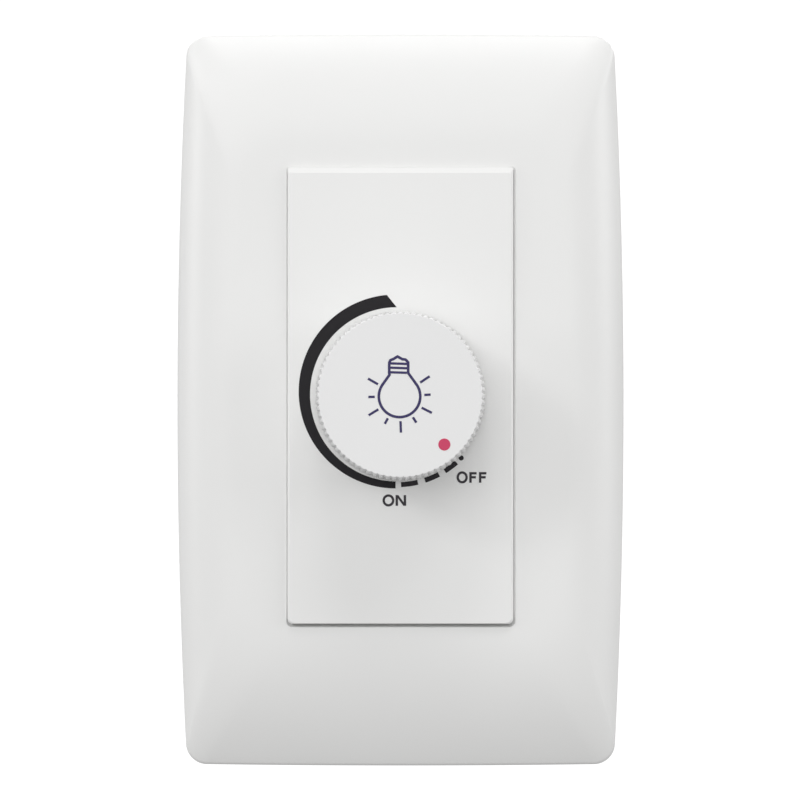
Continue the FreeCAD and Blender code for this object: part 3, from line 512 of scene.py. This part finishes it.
def started_material(name):
    """A new material with its tree, surface shader and object coordinates."""
    material = bpy.data.materials.new(name)
    material.use_nodes = True
    tree = material.node_tree
    shader = tree.nodes["Principled BSDF"]
    place = add_node(tree, "ShaderNodeTexCoord").outputs["Object"]
    return material, tree, shader, place


def satin_abs(name, light, dark, rough_low, rough_high, grain_depth):
    """Injection-moulded ABS: an even white with a faint flow pattern and a fine satin grain.

    The flow runs over 24 mm and the gloss changes over 5 mm. The mould's grain is about 0.05 mm
    and is drawn at 0.3 mm, as coarse as it needs to be to show.
    """
    material, tree, shader, place = started_material(name)
    flow = add_node(tree, "ShaderNodeTexNoise", {"Scale": per_metre(24.0), "Detail": 2.0},
                    {"Vector": place})
    tint = add_node(tree, "ShaderNodeMix",
                    {"data_type": "RGBA", mix_first: colour(light), mix_second: colour(dark)},
                    {"Factor": flow.outputs["Fac"]})
    tree.links.new(tint.outputs[mix_result], shader.inputs["Base Color"])
    patch = add_node(tree, "ShaderNodeTexNoise", {"Scale": per_metre(5.0), "Detail": 3.0},
                     {"Vector": place})
    gloss = add_node(tree, "ShaderNodeMapRange", {"To Min": rough_low, "To Max": rough_high},
                     {"Value": patch.outputs["Fac"]})
    tree.links.new(gloss.outputs["Result"], shader.inputs["Roughness"])
    grain = add_node(tree, "ShaderNodeTexNoise", {"Scale": per_metre(0.3), "Detail": 2.0},
                     {"Vector": place})
    bump = add_node(tree, "ShaderNodeBump", {"Strength": 0.25, "Distance": grain_depth * MILLIMETRE},
                    {"Height": grain.outputs["Fac"]})
    tree.links.new(bump.outputs["Normal"], shader.inputs["Normal"])
    shader.inputs["IOR"].default_value = 1.53
    return material


def printing_ink(name, code):
    """Pad-printed ink: a thin, matt, opaque film, whose shine varies over 1.2 mm as the pad left it."""
    material, tree, shader, place = started_material(name)
    cloud = add_node(tree, "ShaderNodeTexNoise", {"Scale": per_metre(1.2), "Detail": 3.0},
                     {"Vector": place})
    gloss = add_node(tree, "ShaderNodeMapRange", {"To Min": 0.45, "To Max": 0.62},
                     {"Value": cloud.outputs["Fac"]})
    tree.links.new(gloss.outputs["Result"], shader.inputs["Roughness"])
    shader.inputs["Base Color"].default_value = colour(code)
    shader.inputs["IOR"].default_value = 1.5
    shader.inputs["Specular IOR Level"].default_value = 0.3
    return material


def worked_metal(name, code, rough, streak_size):
    """A turned, drawn, pressed or plated metal whose fine working marks break up its shine.

    Real marks are under 0.1 mm. They are drawn at the streak's size, so that they show.
    """
    material, tree, shader, place = started_material(name)
    stretch = add_node(tree, "ShaderNodeMapping", {"Scale": (1.0, 0.12, 1.0)}, {"Vector": place})
    marks = add_node(tree, "ShaderNodeTexNoise", {"Scale": per_metre(streak_size), "Detail": 4.0},
                     {"Vector": stretch.outputs["Vector"]})
    gloss = add_node(tree, "ShaderNodeMapRange", {"To Min": rough - 0.08, "To Max": rough + 0.1},
                     {"Value": marks.outputs["Fac"]})
    tree.links.new(gloss.outputs["Result"], shader.inputs["Roughness"])
    bump = add_node(tree, "ShaderNodeBump", {"Strength": 0.2, "Distance": 0.01 * MILLIMETRE},
                    {"Height": marks.outputs["Fac"]})
    tree.links.new(bump.outputs["Normal"], shader.inputs["Normal"])
    shader.inputs["Base Color"].default_value = colour(code)
    shader.inputs["Metallic"].default_value = 1.0
    return material


def moulded_part(name, light, dark, rough, grain):
    """A moulded, pressed or dipped part behind the plate: one colour with a mottle of its own grain.

    The filler's grain is finer than the sizes given, which are as coarse as they need to be to show.
    """
    material, tree, shader, place = started_material(name)
    mottle = add_node(tree, "ShaderNodeTexNoise", {"Scale": per_metre(grain), "Detail": 4.0},
                      {"Vector": place})
    tint = add_node(tree, "ShaderNodeMix",
                    {"data_type": "RGBA", mix_first: colour(light), mix_second: colour(dark)},
                    {"Factor": mottle.outputs["Fac"]})
    tree.links.new(tint.outputs[mix_result], shader.inputs["Base Color"])
    bump = add_node(tree, "ShaderNodeBump", {"Strength": 0.2, "Distance": 0.02 * MILLIMETRE},
                    {"Height": mottle.outputs["Fac"]})
    tree.links.new(bump.outputs["Normal"], shader.inputs["Normal"])
    shader.inputs["Roughness"].default_value = rough
    shader.inputs["IOR"].default_value = 1.5
    return material


# The plate's mould is grained, so its white is soft and its highlights are broad
plate_abs = satin_abs("white_moulded_abs_plate", "#ECECEB", "#E9E9E8", 0.34, 0.42, 0.012)
# The face's grain is half as deep, which leaves it a little cleaner and flatter than the plate
face_abs = satin_abs("white_moulded_abs_face", "#EDEDEC", "#EAEAE9", 0.34, 0.42, 0.006)
# The knob is slightly duller, so that its teeth read by their shade
knob_abs = satin_abs("white_moulded_abs_knob", "#EBEBEB", "#E8E8E8", 0.36, 0.44, 0.010)
# The broad arc is printed full and black
dial_ink = printing_ink("black_pad_print", "#141116")
# The dashes are narrow, so their ink lies thinner and looks charcoal
dash_ink = printing_ink("charcoal_pad_print", "#242126")
# The thin letters take the least ink and look greyest
words_ink = printing_ink("thin_charcoal_pad_print", "#363338")
# The bulb sign's ink is a dark indigo
sign_ink = printing_ink("indigo_pad_print", "#3A3560")
# The pointer's red is filled in by a second print, flat and strong
pointer_ink = printing_ink("red_filled_dot", "#CC4467")
# Polyamide with filler: a dull grey with a slight mottle
frame_nylon = moulded_part("grey_moulded_polyamide_frame", "#C9CAC8", "#BEBFBD", 0.55, 1.5)
# Unpainted polyamide: a warm white, less shiny than the plate
case_nylon = moulded_part("white_moulded_polyamide_case", "#DEDDD8", "#D2D1CC", 0.5, 1.5)
# Zinc plating on turned steel: a cool silver, bright but not a mirror
screw_zinc = worked_metal("zinc_plated_turned_steel", "#C9CCD0", 0.34, 0.5)
# The parts inside the case
node_materials = {
    # Turned steel: the brightest, with fine tool marks
    "pot_shaft": worked_metal("turned_steel_shaft", "#C4C7CA", 0.3, 0.4),
    # Spring steel: darkened by its hardening
    "pot_retaining_ring": worked_metal("spring_steel_ring", "#8F9296", 0.4, 0.4),
    # Turned brass: a clear yellow shine
    "pot_bush": worked_metal("turned_brass_bush", "#CDA758", 0.32, 0.4),
    # Pressed steel sheet: broad, dull marks from its rolling
    "pot_washer": worked_metal("pressed_steel_washer", "#BFC2C6", 0.36, 0.6),
    # Turned steel, less finely worked than the shaft, so a little duller
    "pot_nut": worked_metal("turned_steel_nut", "#C4C7CA", 0.34, 0.6),
    # Pressed steel: the broadest marks, which give a soft shine
    "pot_can": worked_metal("pressed_steel_can", "#BFC2C6", 0.38, 0.8),
    # Moulded acetal: a milky white, smooth and slippery to the eye
    "pot_rotor": moulded_part("moulded_acetal_rotor", "#E4E2DA", "#D8D6CE", 0.45, 1.0),
    # Pressed bronze: browner than brass
    "pot_wiper": worked_metal("pressed_bronze_wiper", "#C79A5A", 0.35, 0.4),
    # Phenolic board: matt brown, mottled by the paper in it
    "pot_track_board": moulded_part("pressed_phenolic_board", "#7A4A2A", "#6A3E22", 0.6, 0.6),
    # Tinned wire: a soft white metal
    "pot_pins": worked_metal("tinned_pin_wire", "#CFD1D3", 0.33, 0.4),
    # Moulded phenolic: nearly black, with a dull shine
    "switch_case": moulded_part("moulded_phenolic_cup", "#2A2725", "#201E1C", 0.5, 0.8),
    # Moulded acetal, as the rotor: milky white beside the black cup
    "switch_cam": moulded_part("moulded_acetal_cam", "#E8E6DE", "#DBD9D0", 0.45, 1.0),
    # Pressed brass: duller than turned brass
    "switch_contacts": worked_metal("pressed_brass_contact", "#CDA758", 0.35, 0.5),
    # Moulded epoxy: matt black with a fine filler
    "triac": moulded_part("moulded_epoxy_body", "#222224", "#1A1A1C", 0.55, 0.5),
    # Extruded aluminium: pale, with lines along its drawing
    "heat_sink": worked_metal("extruded_aluminium_sink", "#C8CACC", 0.42, 0.7),
    # Zinc plating: a cool silver that stands out on the sink
    "heat_sink_screw": worked_metal("zinc_plated_sink_screw", "#C9CCD0", 0.34, 0.5),
    "heat_sink_nut": worked_metal("zinc_plated_sink_nut", "#C9CCD0", 0.34, 0.5),
    # Sintered ferrite: dark grey, grainy and without shine
    "choke_core": moulded_part("sintered_ferrite_ring", "#3B3B3D", "#2E2E30", 0.7, 0.4),
    # Copper under clear enamel: a warm, wet-looking shine
    "choke_winding": worked_metal("enamelled_copper_wire", "#B8683A", 0.3, 0.6),
    # Capacitor boxes: one moulded with a light gloss, one dipped and glossier
    "film_capacitor": moulded_part("yellow_moulded_box", "#D9B23A", "#CFA730", 0.4, 1.2),
    "timing_capacitor": moulded_part("red_dipped_box", "#B0392C", "#A33225", 0.35, 1.2),
    # Drawn glass: the glossiest, with its orange die showing through
    "diac": moulded_part("drawn_glass_diode", "#B8593A", "#A84F33", 0.15, 0.8),
    # Baked enamel: a pale blue, slightly uneven coat
    "resistors": moulded_part("enamelled_resistor", "#B9D0DA", "#ABC3CE", 0.35, 0.8),
    # Moulded case: plain dark brown
    "fuse": moulded_part("brown_moulded_fuse", "#4A3A30", "#3F3129", 0.45, 0.8),
    # Milled brass: flat bright faces with fine cutter marks
    "terminal_clamps": worked_metal("milled_brass_terminal", "#CDA758", 0.34, 0.5),
    # Zinc plating: a cool silver against the brass
    "terminal_screws": worked_metal("zinc_plated_terminal_screw", "#C9CCD0", 0.34, 0.5),
    # Laminate under green lacquer: an even satin green
    "circuit_board": moulded_part("laminated_board_green", "#2F6B46", "#28603D", 0.45, 0.8),
}


# Cover plate

def slope_inset(reach, drop, wall):
    """How far in the plate's surface is after a drop from its field, on one side."""
    full_drop = plate_field_rise - plate_rim_rise
    radius = (reach ** 2 + full_drop ** 2) / (2 * full_drop) - wall
    return max(wall, reach - math.sqrt(radius ** 2 - (radius - drop) ** 2))


def plate_loop(drop, wall=0.0):
    """The plate's outline after a drop from its field, or that of its hollow."""
    full_drop = plate_field_rise - plate_rim_rise
    corner = plate_field_corner + (plate_rim_corner - plate_field_corner) * math.sqrt(drop / full_drop)
    half_width = plate_half_width - slope_inset(plate_side_roll, drop, wall)
    top = plate_half_height - slope_inset(plate_top_slope, drop, wall)
    bottom = plate_half_height - slope_inset(plate_bottom_slope, drop, wall)
    quarter = barrel_quarter(half_width, (top + bottom) / 2, corner)
    loop = mirrored(quarter, plate_middle_z + (top - bottom) / 2)
    return at_rise(loop, plate_field_rise - wall - drop)


def slope_rise(reach, inset):
    """Rise of the plate's surface at a distance in from its edge."""
    full_drop = plate_field_rise - plate_rim_rise
    radius = (reach ** 2 + full_drop ** 2) / (2 * full_drop)
    return plate_field_rise - radius + math.sqrt(radius ** 2 - (reach - inset) ** 2)


def slope_loops(wall, steps, falling):
    """Loops down the slope from the field to the rim, or up it."""
    full_drop = plate_field_rise - plate_rim_rise
    order = range(steps + 1) if falling else range(steps, -1, -1)
    return [plate_loop(full_drop * (step / steps) ** 2, wall) for step in order]


def rib_outline(window_x):
    """Outline of a side rib, as (x, rise): its outer edge ends inside the plate's wall."""
    full_drop = plate_field_rise - plate_rim_rise
    middle = plate_wall / 2
    points = [(window_x + plate_collar_wall / 2, collar_rise)]
    sag = plate_side_bulge * (rib_place / plate_half_height) ** 2
    for step in range(rib_steps, -1, -1):
        drop = full_drop * (step / rib_steps) ** 2
        rise = plate_field_rise - middle - drop
        inset = slope_inset(plate_side_roll, drop, middle)
        points.append((plate_half_width - sag - inset, max(rise, collar_rise)))
    points.append((window_x + plate_collar_wall / 2, plate_field_rise - middle))
    return points


def cover_plate():
    """Moulded cover plate: bowed outline, soft slopes, window with its collar, ribs and hooks."""
    window_x = face_half_width + window_gap
    window_z = face_half_height + window_gap
    window = window_loop(*window_gaps)
    ledge = window_loop(*window_ledge_gaps)
    depths = by_side(window, *window_ledge_depths)
    ledge_top = [Vector((x, depth - plate_field_rise, z)) for (x, z), depth in zip(ledge, depths)]
    window_low = [Vector((x, depth - plate_field_rise, z)) for (x, z), depth in zip(window, depths)]
    collar = mirrored(rectangle_quarter(window_x + plate_collar_wall, window_z + plate_collar_wall,
                                        plate_collar_wall))
    ceiling = plate_field_rise - plate_wall
    slope = slope_loops(0.0, slope_steps, True)
    hollow = slope_loops(plate_wall, hollow_steps, False)
    rim = slope.pop()
    while (slope[-1][0] - rim[0]).length < plate_rim_rounding:
        slope.pop()
    foot = [Vector((p.x, 0, p.z)) for p in rim]
    inner_foot = [Vector((p.x, 0, p.z)) for p in hollow[0]]
    profile = [(at_rise(window, plate_field_rise), by_side(window, *window_roundings))]
    profile += [(loop, 0) for loop in slope]
    profile += [(rim, plate_rim_rounding), (foot, plate_foot_rounding), (inner_foot, plate_foot_rounding)]
    profile += [(loop, 0) for loop in hollow]
    profile += [(at_rise(collar, ceiling), 0), (at_rise(collar, collar_rise), plate_foot_rounding),
                (at_rise(ledge, collar_rise), plate_foot_rounding), (ledge_top, 0), (window_low, 0)]
    shape = bmesh.new()
    add_loops(shape, shell_loops(profile), True)
    outline = rib_outline(window_x)
    for side in (-1, 1):
        for place in (-rib_place, 0.0, rib_place):
            add_slab(shape, outline, place - rib_thickness / 2, place + rib_thickness / 2,
                     lambda distance, rise, end: Vector((side * distance, -rise, end)))
    hook_low = catch_top - catch_height - hook_gap - hook_barb_height
    near = seat_high.z + hook_gap
    far = near + hook_thickness
    tip = near - hook_reach
    barb_top = hook_low + hook_barb_height
    plate_ends = ((-1, plate_bottom_slope, -plate_low.z), (1, plate_top_slope, plate_high.z))
    for way, slope_reach, edge in plate_ends:
        root = slope_rise(slope_reach, edge - far) - plate_wall / 2
        hook = [(near, root), (near, barb_top), (tip, barb_top), (tip, barb_top - hook_barb_edge),
                (tip + hook_lead_in, hook_low), (far - hook_chamfer, hook_low),
                (far, hook_low + hook_chamfer), (far, root)]
        for side in (-1, 1):
            add_slab(shape, hook, side * hook_place - hook_width / 2, side * hook_place + hook_width / 2,
                     lambda distance, rise, end: Vector((end, -rise, way * distance)))
    piece = finished_piece("cover_plate", shape, "dimmer_body", plate_abs)
    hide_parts("wall_plate")


# Knob

def tooth_groove(phase):
    """How deep the groove is at a place in one tooth, from 0 at its tip to 1 at its root."""
    nearness = max(0.0, 1.0 - abs(phase - 0.5) / knob_groove_half_width)
    return nearness * nearness * (3 - 2 * nearness)


def knob_loop(rise, radius, depth):
    """The knob's outline with its grip teeth."""
    total = knob_teeth * points_per_tooth
    loop = []
    for index in range(total):
        angle = 2 * math.pi * index / total
        reach = radius - depth * tooth_groove((index % points_per_tooth) / points_per_tooth)
        loop.append(Vector((reach * math.sin(angle), -rise, reach * math.cos(angle))))
    return loop


def dimmer_knob():
    """Moulded knob: tapered, with grip teeth that end in a serrated edge, hollow behind."""
    ceiling = knob_face_rise - knob_face_thickness
    inner_base = knob_base_radius - knob_tooth_depth - knob_wall
    inner_top = knob_face_radius - knob_tooth_depth - knob_wall
    edge_rise = knob_face_rise - knob_edge_height
    depth = knob_tooth_depth
    loops = [knob_loop(ceiling, inner_top * share, 0) for share in knob_ceiling_shares]
    loops += [knob_loop(knob_base_rise + knob_inner_chamfer, inner_base, 0),
              knob_loop(knob_base_rise, inner_base + knob_inner_chamfer, 0)]
    for lift, inset, share in knob_foot_loops:
        loops.append(knob_loop(knob_base_rise + lift, knob_base_radius - inset, depth * share))
    for share in knob_side_shares:
        rise = knob_base_rise + (edge_rise - knob_base_rise) * share
        radius = knob_base_radius + (knob_face_radius - knob_base_radius) * share
        loops.append(knob_loop(rise, radius, depth * (1 - (1 - knob_top_depth_share) * share)))
    for step in range(1, knob_edge_steps + 1):
        share = step / knob_edge_steps
        turn = math.pi / 2 * share
        rise = edge_rise + knob_edge_height * math.sin(turn)
        radius = knob_face_radius - knob_edge_inset * (1 - math.cos(turn))
        loops.append(knob_loop(rise, radius, depth * (knob_top_depth_share - knob_edge_fade * share)))
    for inset, share in knob_face_loops:
        loops.append(knob_loop(knob_face_rise, knob_face_radius - knob_edge_inset - inset, depth * share))
    shape = bmesh.new()
    add_loops(shape, loops, False)
    boss_rise = -ring_low.y + knob_ring_gap
    root = ceiling + knob_ceiling_lap
    shaft_radius = shaft_high.x
    outer = mirrored(circle_quarter(knob_boss_radius))
    bore = mirrored(circle_quarter(shaft_radius + knob_bore_gap))
    boss = [at_rise(bore, root), at_rise(bore, boss_rise), at_rise(outer, boss_rise), at_rise(outer, root)]
    add_loops(shape, boss, True)
    half = knob_rib_thickness / 2
    for index in range(knob_rib_count):
        add_block(shape, (-half, half), (boss_rise + knob_rib_setback, root),
                  ((knob_boss_radius + shaft_radius) / 2, inner_top + knob_wall / 2),
                  math.radians((index + 0.5) * 360 / knob_rib_count))
    piece = finished_piece("dimmer_knob", shape, "turning_knob", knob_abs)
    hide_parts("knob")


# Prints

def stroke(points, width, closed=False):
    """Outline of a line of even width with mitred bends and square ends."""
    half = width / 2
    path = [Vector(p) for p in points]
    left = []
    right = []
    for index, point in enumerate(path):
        before = path[index - 1] if index > 0 or closed else None
        after = path[(index + 1) % len(path)] if index < len(path) - 1 or closed else None
        directions = []
        if before is not None:
            directions.append((point - before).normalized())
        if after is not None:
            directions.append((after - point).normalized())
        along = sum(directions, Vector((0, 0))).normalized()
        across = Vector((-along.y, along.x))
        stretch = half / max(bend_limit, abs(across.dot(Vector((-directions[0].y, directions[0].x)))))
        left.append(point + across * stretch)
        right.append(point - across * stretch)
    return left, right


def add_ribbon(shape, left, right, low, high, closed=False):
    """Adds a raised band between two lines of points and two rises."""
    rows = [[shape.verts.new(Vector((p[0], -rise, p[1])) * MILLIMETRE) for p in side]
            for side, rise in ((left, low), (left, high), (right, high), (right, low))]
    count = len(left)
    for index in range(count if closed else count - 1):
        after = (index + 1) % count
        for row in range(4):
            other = rows[(row + 1) % 4]
            shape.faces.new((rows[row][index], rows[row][after], other[after], other[index]))
    if not closed:
        for index in (0, count - 1):
            shape.faces.new([row[index] for row in rows])


def add_stroke(shape, points, width, low, high, closed=False):
    """Adds a raised line of even width between two rises."""
    left, right = stroke(points, width, closed)
    add_ribbon(shape, left, right, low, high, closed)


def add_disc(shape, centre, radius, low, high):
    """Adds a round spot between two rises."""
    add_prism(shape, arc_points(centre, radius, 0, 2 * math.pi, round_points)[:-1], low, high)


def dial_arc():
    """The tapered arc of the dial, which grows clockwise from ON."""
    outer_start = math.acos((arc_low_x - arc_outer_centre[0]) / arc_outer_radius)
    inner_start = math.acos((arc_low_x - arc_inner_centre[0]) / arc_inner_radius)
    outer_end = math.atan2(arc_top_outer[1] - arc_outer_centre[1], arc_top_outer[0] - arc_outer_centre[0])
    inner_end = math.atan2(arc_top_inner[1] - arc_inner_centre[1], arc_top_inner[0] - arc_inner_centre[0])
    outer = arc_points(arc_outer_centre, arc_outer_radius, 2 * math.pi - outer_start, outer_end, arc_steps)
    inner = arc_points(arc_inner_centre, arc_inner_radius, 2 * math.pi - inner_start, inner_end, arc_steps)
    shape = bmesh.new()
    add_ribbon(shape, outer, inner, face_ink_low, face_ink_high)
    finished_piece("dial_arc", shape, "dimmer_body", dial_ink, smooth=False)


def dial_dashes():
    """Three dashes and a dot between OFF and ON."""
    shape = bmesh.new()
    for start, end in dash_spans:
        points = arc_points(dash_centre, dash_radius, math.radians(start - 90), math.radians(end - 90),
                            dash_steps)
        add_stroke(shape, points, dash_width, face_ink_low, face_ink_high)
    angle = math.radians(off_dot_angle - 90)
    spot = (dash_centre[0] + dash_radius * math.cos(angle), dash_centre[1] + dash_radius * math.sin(angle))
    add_disc(shape, spot, off_dot_radius, face_ink_low, face_ink_high)
    finished_piece("dial_dashes", shape, "dimmer_body", dash_ink, smooth=False)


def add_letter(shape, letter, left, width, middle_z):
    """Adds one capital letter with its left edge and width."""
    top = middle_z + letter_height / 2
    bottom = middle_z - letter_height / 2
    right = left + width
    inset = letter_stroke / 2
    if letter == "O":
        middle_x = (left + right) / 2
        half_width = width / 2 - inset
        half_height = letter_height / 2 + round_letter_overshoot - inset
        turns = [2 * math.pi * index / round_points for index in range(round_points)]
        ring = [(middle_x + half_width * math.cos(turn), middle_z + half_height * math.sin(turn))
                for turn in turns]
        add_stroke(shape, ring, letter_stroke, face_ink_low, face_ink_high, closed=True)
    if letter == "N":
        for x in (left + inset, right - inset):
            add_stroke(shape, [(x, bottom), (x, top)], letter_stroke, face_ink_low, face_ink_high)
        reach = letter_stroke * diagonal_share
        diagonal = [(left, top), (left + reach, top), (right, bottom), (right - reach, bottom)]
        add_prism(shape, diagonal, face_ink_low, face_ink_high + ink_lap)
    if letter == "F":
        stem = [(left + inset, bottom), (left + inset, top)]
        add_stroke(shape, stem, letter_stroke, face_ink_low, face_ink_high)
        for share, z in ((1.0, top - inset), (middle_arm_share, middle_z + middle_arm_lift)):
            arm = [(left + letter_stroke, z), (left + width * share, z)]
            add_stroke(shape, arm, letter_stroke, face_ink_low, face_ink_high)


def dial_words():
    """The words ON and OFF, printed on the face."""
    shape = bmesh.new()
    for letter, left, width in on_letters:
        add_letter(shape, letter, left, width, on_centre_z)
    for letter, left, width in off_letters:
        add_letter(shape, letter, left, width, off_centre_z)
    finished_piece("dial_words", shape, "dimmer_body", words_ink, smooth=False)


def bulb_sign():
    """A simple light bulb with its rays, printed on the knob."""
    shape = bmesh.new()
    globe = arc_points(globe_centre, globe_radius, math.radians(globe_start_angle),
                       math.radians(globe_end_angle), globe_steps)
    add_stroke(shape, list(cap_outline) + globe, sign_stroke, knob_ink_low, knob_ink_high, closed=True)
    thin = sign_stroke * sign_thin_share
    for middle in thread_heights:
        band = [(x, middle + lift) for x, lift in thread_bends]
        add_stroke(shape, band, thin, knob_ink_low, knob_ink_high - ink_lap)
    for index in range(ray_count):
        angle = math.radians(ray_first_angle + ray_step * index)
        reach = ray_long_end if index % 2 == 0 else ray_short_end
        ends = [(globe_centre[0] + r * math.cos(angle), globe_centre[1] + r * math.sin(angle))
                for r in (ray_start, reach)]
        add_stroke(shape, ends, thin, knob_ink_low, knob_ink_high)
    finished_piece("bulb_sign", shape, "turning_knob", sign_ink, smooth=False)


def pointer_dot():
    """The red dot that points at the dial."""
    angle = math.radians(pointer_angle)
    centre = (pointer_radius * math.cos(angle), pointer_radius * math.sin(angle))
    shape = bmesh.new()
    add_disc(shape, centre, pointer_dot_radius, knob_ink_low, knob_ink_high)
    finished_piece("pointer_dot", shape, "turning_knob", pointer_ink, smooth=False)


# Studio

# The camera, with its angles in degrees
camera_distance = 800.0
view_width = 129.03
sensor_width = 36.0
camera_below = 0.6
camera_right = 0.15
aim_x = -0.08
aim_z = -0.56

# The light from all sides, and how bright the surround looks to the camera
surround_strength = 0.437
seen_strength = 1.1

# The floor, in metres
floor_height = -1.0
floor_radius = 6.0
floor_points = 96
floor_glow = 0.6

# Each light: its name, its angles round and above the part in degrees, its size in metres, its power
light_distance = 1.2
soft_lights = (
    ("upper_left_light", -50, 26, 0.24, 1.82),
    ("top_light", -4, 66, 0.3, 2.36),
    ("upper_right_light", 40, 60, 0.5, 2.23),
    ("left_light", -75, 10, 0.3, 2.0),
    ("right_light", 72, 12, 0.5, 3.13),
    ("front_light", 0, 4, 0.8, 1.76),
    ("front_left_light", -22, 20, 0.6, 1.71),
    ("rear_right_light", 150, 30, 0.6, 6.4),
    ("rear_left_light", -150, 45, 0.6, 4.0),
)


def camera():
    """A long lens in front of the plate, a touch below its middle and to the right of it."""
    data = bpy.data.cameras.new("camera")
    data.sensor_width = sensor_width
    data.lens = sensor_width * camera_distance / view_width
    data.clip_start = 0.01
    data.clip_end = 50.0
    item = bpy.data.objects.new("camera", data)
    bpy.context.scene.collection.objects.link(item)
    aim = Vector((aim_x, -plate_rim_rise, aim_z)) * MILLIMETRE
    right = math.sin(math.radians(camera_right))
    down = math.sin(math.radians(camera_below))
    back = Vector((right, -1.0, -down)).normalized()
    item.location = aim + back * camera_distance * MILLIMETRE
    item.rotation_euler = (-back).to_track_quat("-Z", "Y").to_euler()
    bpy.context.scene.camera = item


def soft_light(name, azimuth, elevation, size, power):
    """A square, white, soft light that looks at the middle of the part."""
    data = bpy.data.lights.new(name, "AREA")
    data.shape = "SQUARE"
    data.size = size
    data.energy = power
    item = bpy.data.objects.new(name, data)
    bpy.context.scene.collection.objects.link(item)
    turn = math.radians(azimuth)
    lift = math.radians(elevation)
    back = Vector((math.sin(turn) * math.cos(lift), -math.cos(turn) * math.cos(lift), math.sin(lift)))
    item.location = back * light_distance
    item.rotation_euler = (-back).to_track_quat("-Z", "Y").to_euler()


def pale_floor():
    """A pale floor well below the part, as bright as the surround."""
    mesh = bpy.data.meshes.new("floor")
    shape = bmesh.new()
    bmesh.ops.create_circle(shape, cap_ends=True, radius=floor_radius, segments=floor_points,
                            matrix=Matrix.Translation((0, 0, floor_height)))
    shape.to_mesh(mesh)
    shape.free()
    floor = bpy.data.objects.new("floor", mesh)
    bpy.context.scene.collection.objects.link(floor)
    paint, _, shader, _ = started_material("pale_painted_floor")
    shader.inputs["Base Color"].default_value = colour("#F4F4F4")
    shader.inputs["Roughness"].default_value = 0.8
    shader.inputs["Emission Color"].default_value = (1, 1, 1, 1)
    shader.inputs["Emission Strength"].default_value = floor_glow
    floor.data.materials.append(paint)
    floor.visible_diffuse = False
    floor.visible_glossy = False


def surround():
    """White to the camera; as a light it is even from all sides and less than half as strong."""
    world = bpy.data.worlds.new("white_surround")
    world.use_nodes = True
    bpy.context.scene.world = world
    tree = world.node_tree
    ambient = tree.nodes["Background"]
    ambient.inputs["Color"].default_value = (1, 1, 1, 1)
    ambient.inputs["Strength"].default_value = surround_strength
    seen = add_node(tree, "ShaderNodeBackground", {"Color": (1, 1, 1, 1), "Strength": seen_strength})
    rays = add_node(tree, "ShaderNodeLightPath")
    pick = add_node(tree, "ShaderNodeMixShader", None, {0: rays.outputs["Is Camera Ray"],
                                                        1: ambient.outputs["Background"],
                                                        2: seen.outputs["Background"]})
    tree.links.new(pick.outputs["Shader"], tree.nodes["World Output"].inputs["Surface"])


def studio():
    """The floor, the surround and soft lights, of which the last two light the back."""
    pale_floor()
    surround()
    for light in soft_lights:
        soft_light(*light)
    bpy.context.scene.view_settings.view_transform = "Standard"


def dress():
    """Makes every piece and gives every solid that stays its material."""
    cover_plate()
    softened("module_cover", "face_panel", face_abs, face_edge_rounding, face_rim_rounding)
    softened("mounting_frame", "plate_carrier", frame_nylon, case_edge_rounding)
    softened("module_housing", "rear_case", case_nylon, case_edge_rounding)
    softened("housing_screws", "case_screws", screw_zinc, screw_edge_rounding)
    dimmer_knob()
    dial_arc()
    dial_dashes()
    dial_words()
    bulb_sign()
    pointer_dot()
    for node, material in node_materials.items():
        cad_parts[node].data.materials.clear()
        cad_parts[node].data.materials.append(material)


dress()
camera()
studio()
